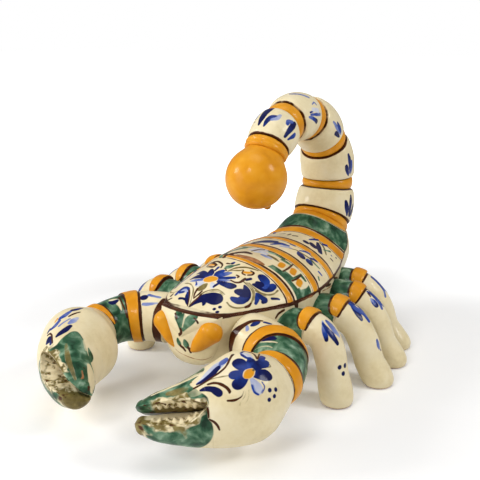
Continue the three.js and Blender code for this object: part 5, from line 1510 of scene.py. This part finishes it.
LEFT_PALM_MARKS = [
    ("blue", 1, 0.9, [(72, 310.3, 1.6), (77, 309.3, 1.9), (82, 308.3, 0.8)]),
    ("blue", 0.7, 0.6, [(59.5, 318.5, 2), (64.5, 315.5, 2.6), (69.5, 312, 1.5)]),
    ("blue", 0.7, 0.6, [(51, 329, 1), (55, 325.5, 2.2), (59, 321, 1.6)]),
    ("blue", 0.9, 0.8, [(47.5, 332.5, 0.8), (49.5, 329.5, 1.2)]),
    ("yellow", [(55, 322, 1.5), (57.5, 318.6, 2)]),
    ("blue", 1, 1, [(56.8, 336.5, 1), (61, 333, 3), (66, 329.5, 3.7), (70, 326, 2.4)]),
    ("blue", 0.45, 0.35, [(69, 323, 1.5), (73, 320.5, 3.6), (77, 318, 2)]),
    ("brown", [(69, 316, 0.6), (74, 313.6, 0.7), (80, 312, 0.5)]),
    ("blue", 0.5, 0.4, [(59, 326, 0.7), (64, 322, 0.7), (70, 318.5, 0.6)]),
    ("blue", 0.9, 0.95, [(47.3, 343, 1.4), (49, 340, 3.6), (48.6, 338, 2)]),
    ("blue", 0.9, 0.9, [(50.6, 344.3, 1.2), (51, 341.5, 1.6)]),
    ("brown", [(47.5, 335, 0.6), (50, 333.6, 0.9), (52, 336, 0.8), (52.5, 343, 0.6)]),
    ("green", [(88.6, 348.5, 0.8), (90, 353, 2.6), (91, 357.5, 4), (88.6, 362.5, 2.6), (86, 367, 1)]),
    ("bare", [(66, 344, 2), (67, 352, 4), (69, 362, 5), (73, 373, 3), (76, 381, 1.6)]),
    ("olive", [(66, 344, 2.4), (67, 352, 4.6), (69, 362, 5.6), (73, 373, 3.6), (76, 381, 2)]),
    ("bare", [(84, 341, 1.6), (85.5, 346, 2.6), (86, 350, 1.6)]),
    ("olive", [(50, 351, 1.6), (55, 359, 2.4), (61, 369, 2.4), (67, 378, 1.6)]),
    ("cream", [(89, 366, 3), (91.5, 374, 7), (92.5, 383, 9), (91, 391, 8), (89, 396, 4)]),
    ("clay", [(82, 371, 1.6), (83, 377, 3), (81.6, 381, 1.6)]),
]


def whole_claw(t, turn):
    """The claw before its mouth is cut."""
    return claw(t, turn, "whole")


PALM_STROKES = {
    hand: Sight(whole_claw, (0, 0.999), (-90, 270), hand == "left").strokes(marks)
    for hand, marks in (("left", LEFT_PALM_MARKS), ("right", RIGHT_PALM_MARKS))}
print("strokes on the palms:", {hand: len(table) for hand, table in PALM_STROKES.items()})

# %% Fingers
CLAW_TURN = np.arange(0, 360, 1.0)
TIP_ROUND = 4.2  # how far a rounded fingertip runs on


def softened(rows, passes=3):
    """Rows with their corners rounded: each point moves towards its two neighbours on the ring."""
    for _ in range(passes):
        rows = 0.5 * rows + 0.25 * (np.roll(rows, 1, axis=1) + np.roll(rows, -1, axis=1))
    return rows


def finger(part):
    """A finger from the mouth's corner to its rounded end, the last ring drawn in by a quarter turn."""
    t, angle = grid_of(np.linspace(MOUTH_T, 1, 100), CLAW_TURN)
    rows = softened(uneven(claw, t, angle, part, amount=0.3))
    middle = rows[-1].mean(axis=0)
    bend = np.radians(np.linspace(8, 88, 12))[:, None, None]
    run = claw_line.at(np.array(1.0))[1]
    end = middle + (rows[-1] - middle) * np.cos(bend) + TIP_ROUND * np.sin(bend) * run
    t, rows = np.concatenate([t, np.ones((len(bend), 1))]), np.concatenate([rows, end])
    return t, rows, middle + TIP_ROUND * run


print("a finger has", len(finger("lower")[1]), "rings")

# %% Paint on the claws
GREEN_FROM = {  # how far along the claw the green starts, by the turn round it
    "right": smooth_curve(
        (-180, -158, -144, -131, -118, -108, -85, -77, -63, -44, -36, -30, -15, 0, 60, 180),
        (0.7, 0.66, 0.637, 0.628, 0.63, 0.645, 0.628, 0.632, 0.67, 0.7, 0.66, 0.604, 0.569, 0.565, 0.6,
         0.7)),
    "left": smooth_curve(
        (-180, -120, -95, -70, -57, -50, -39, -28, -18, -6, 8, 30, 60, 180),
        (0.7, 0.66, 0.66, 0.69, 0.685, 0.66, 0.617, 0.58, 0.585, 0.65, 0.76, 0.86, 0.93, 0.97))}
FRINGE_REACH, STRIP_DEPTH = 12.0, 12.0
PALM_UNDER, UNDER_SPREAD = -135, 55  # the turn at the palm's underside, and how far round from it faint olive dabs darken the palm


def paint_claw(grid, t, part, hand):
    """Green fingers with pale smeared bevels, then the strokes. The tops of the teeth are kept pale, a painted
    highlight, and brown lies between them, smears mixed with painted shade. A smear is soft lumps of two
    sizes, and each layer's depth is the least of the depths of the areas that it must lie in."""
    paint = Paint(grid)
    turn = np.mod(CLAW_TURN + 180, 360)[None] - 180
    upper, far_lower = part == "upper", (hand, part) == ("left", "lower")
    paint.wash("green", (t - GREEN_FROM[hand](turn)) * claw_line.length)
    beyond, across, _, tooth, off = claw_lip(t, CLAW_TURN[None], part, claw_radius(t))
    lip = np.where(beyond & (t > MOUTH_T), np.minimum(2.0, (t - MOUTH_T) * 120), -FAR)
    outside = ~beyond & (t > MOUTH_T) & (off < FRINGE_REACH)
    smooth = 0.12 if far_lower else 0.42
    strip = (across / claw_radius(t) - smooth) * STRIP_DEPTH  # below nought on the smooth strip by the mouth
    smear, patch = lumps(grid, 3.0, 8) + 0.6 * lumps(grid, 1.5, 9), lumps(grid, 6.0, 4)
    tip = 0.0 if upper else 16 * np.clip(t - 0.95, 0, 1)
    fringe = 0.5 + 1.5 * patch + 0.4 * smear - 0.3 * off + tip + 0.6 * ((hand, part) == ("left", "upper"))
    paint.spare("green", np.where(outside, fringe, lip))
    paint.wash("green", np.minimum(lip, np.minimum(1.4 * smear - 0.6 - 1.2 * tooth, strip)))
    fine = 1.5 if far_lower else 2.4
    blotch = 0.55 + 0.9 * lumps(grid, fine, 11) + 0.5 * lumps(grid, fine / 2, 12)
    paint.wash("olive", np.minimum(np.where(outside, fringe + 0.7, lip), blotch + tip))
    paint.wash("brown", np.minimum(20 * (t - 0.9), -0.5 + 0.7 * smear))
    # the tooth tops are kept pale: a painted highlight, broken up by the glaze's smears
    tooth_highlight = 0.9 * tooth - 0.65 - 0.9 * smear + 0.5 * patch - tip
    pale = np.minimum(tooth_highlight, strip) if upper else np.maximum(tooth_highlight, -strip)
    paint.spare("olive", np.where(beyond, pale, -FAR))
    # brown smears between the teeth: real mottling together with painted shade in the grooves
    paint.wash("brown", np.minimum(lip, np.minimum(1.1 * smear - 0.25 - 1.6 * tooth, strip)))
    if upper:
        paint.wash("green", 30 * (t - 0.92))
        paint.wash("olive", np.minimum(lip, -strip))
        paint.wash("brown", np.minimum(lip, np.minimum(-strip, 1.5 * smear - 0.5)))
    else:
        paint.spare("green", 40 * (t - 0.985))
        paint.wash("olive", 40 * (t - 0.97))
    on_strap = wrist_straps[hand].full(turn + MOUTH_TILT) > 0.3
    paint.wash("brown", np.where(on_strap, 0.6 - np.abs(t * claw_line.length - 4.9), -FAR))
    # faint olive dabs on the palm, darker towards its underside
    past_under = np.maximum(np.abs(turn - PALM_UNDER) / UNDER_SPREAD - 1, 0)
    paint.wash("olive", np.where(t < MOUTH_T, -0.08 - past_under - 8 * np.maximum(0.2 - t, 0), -FAR))
    paint.strokes(whole_claw, PALM_STROKES[hand])
    return paint


print("on top the green starts at", {hand: float(start(0.0).round(2)) for hand, start in GREEN_FROM.items()})

# %% Claws
PALM_ROWS, BEATEN, BEATEN_LUMPS, BEATEN_SPREAD = 116, 0.55, 5.5, 60
t, angle = grid_of(np.linspace(0.0, MOUTH_T, PALM_ROWS), CLAW_TURN)
palm = uneven(claw, t, angle, "whole", amount=0.5)
from_under = np.abs(np.mod(angle + 180, 360) - 180 - PALM_UNDER)
beaten = np.clip(1.4 - from_under / BEATEN_SPREAD, 0, 1) * np.clip(6 * (MOUTH_T - t), 0, 1)
dents = BEATEN * beaten * np.abs(lumps(palm, BEATEN_LUMPS, 7))  # the paddle's marks underneath
palm = claw(t, angle, "whole", 0.5 * lumps(palm, ROUGH_LUMPS, 1) - dents)
upper_t, upper, upper_end = finger("upper")
upper, upper_t = np.concatenate([palm, upper]), np.concatenate([t, upper_t])
lower_t, lower, lower_end = finger("lower")
for hand in ("left", "right"):
    left = hand == "left"
    for name, node, part, grid, t, end in (("palm", "claw_palm", "upper", upper, upper_t, upper_end),
                                           ("finger", "claw_finger", "lower", lower, lower_t, lower_end)):
        paint = paint_claw(grid, t, part, hand)
        ends = grid[0].mean(axis=0), end
        skin(f"{name}_{hand}", f"{node}_{hand}", "painted_cream_glaze", grid, paint, ends, mirror=left)
print("claws: palm with", len(upper), "rings, lower finger with", len(lower))

# %% [markdown]
# ## Floor, light and camera
# A product photographer sets such a piece on a white sweep under soft boxes. The floor is a large plain
# plane, pale enough to read as white while it keeps the soft shadow; the boxes stand high on both sides of
# the camera and leave the paired highlights on the ball. A curved sweep could be modelled, but a plane that
# fades to plain white looks the same and stays simple.

# %% Floor
floor_mesh = bpy.data.meshes.new("floor")
reach, FADE = 6.0, (0.2, 0.5)  # half width, and where the shaded middle turns into plain white
floor_mesh.from_pydata([(-reach, -reach, 0), (reach, -reach, 0), (reach, reach, 0), (-reach, reach, 0)], [],
                       [(0, 1, 2, 3)])
floor = bpy.data.objects.new("floor", floor_mesh)
bpy.context.scene.collection.objects.link(floor)
floor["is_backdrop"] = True
paper = bpy.data.materials.new("white_paper")
paper.use_nodes = True
matt = paper.node_tree.nodes["Principled BSDF"]
matt.inputs["Base Color"].default_value = (0.95, 0.95, 0.95, 1)
matt.inputs["Roughness"].default_value = 0.9
matt.inputs["Specular IOR Level"].default_value = 0.0


def seen_directly(start):
    """1 where the eye meets the white, and 0 for light that bounces on."""
    return start.make("LightPath", {}, {}, out="Is Camera Ray")


start = Wire(paper.node_tree)
place = start.make("TexCoord", {}, {}, out="Object")
out_from_middle = start.make("VectorMath", {"operation": "LENGTH"}, {0: place}, out="Value")
fading = {0: out_from_middle, 1: FADE[0], 2: FADE[1]}
far = start.make("MapRange", {"interpolation_type": "SMOOTHSTEP"}, fading) * 0.9 + 0.1
far = far * seen_directly(start)
matt.inputs["Emission Strength"].default_value = 1.0
paper.node_tree.links.new(far.socket, matt.inputs["Emission Color"])
floor_mesh.materials.append(paper)
print("floor", 2 * reach, "m across, plain white past", FADE[1], "m")

# %% Light
SKY = 0.3
world = bpy.data.worlds.new("studio")
bpy.context.scene.world = world
world.use_nodes = True
sky = world.node_tree.nodes["Background"]
look = Wire(world.node_tree)
strength = SKY + seen_directly(look) * (1 - SKY)
world.node_tree.links.new(strength.socket, sky.inputs["Strength"])
sky.inputs["Color"].default_value = (1, 1, 1, 1)


def soft_box(name, place, aim, size, watts):
    """A round soft box at a place, turned so that it looks at its aim."""
    lamp = bpy.data.lights.new(name, "AREA")
    lamp.shape, lamp.size, lamp.energy = "DISK", size, watts
    box = bpy.data.objects.new(name, lamp)
    box.location = place
    box.rotation_euler = (Vector(aim) - Vector(place)).to_track_quat("-Z", "Y").to_euler()
    bpy.context.scene.collection.objects.link(box)
    return box


soft_box("front_box", (0.0, -1.15, 0.98), (0, 0, 0.08), 0.45, 5.4)
soft_box("right_box", (1.1, 0.32, 0.95), (0, 0, 0.08), 0.45, 6.8)
soft_box("left_box", (-1.05, -0.8, 0.7), (0, 0, 0.08), 0.45, 8.1)
soft_box("top_box", (0.0, 0.0, 1.5), (0, 0, 0), 0.9, 3.5)
soft_box("low_front_box", (-0.7, -1.15, 0.3), (0, -0.05, 0.08), 0.8, 4.0)
bpy.context.scene.view_settings.view_transform = "Standard"
print("sky at", SKY, "on the clay, and plain white where it is seen")

# %% [markdown]
# The camera stands where the photograph was taken from: a little above the ornament, to the right of its
# nose. It could be set by eye, but the marks were laid on the clay from one stand, so it takes that one.

# %% Camera
aim, stand = 0.001 * (AIM + SHIFT_Y * Y), 0.001 * (STAND + SHIFT_Y * Y)
lens = bpy.data.cameras.new("camera")
lens.sensor_width = 36.0
lens.lens = lens.sensor_width * FOCAL / PICTURE
camera = bpy.data.objects.new("camera", lens)
camera.location = stand
camera.rotation_euler = Vector(aim - stand).to_track_quat("-Z", "Y").to_euler()
bpy.context.scene.collection.objects.link(camera)
bpy.context.scene.camera = camera
print("camera at", stand.round(3), "m")

# %% Size of the dressed ornament
low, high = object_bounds()
print("dressed ornament spans", np.round(np.array(high) - np.array(low), 4), "m in", len(pieces), "pieces")
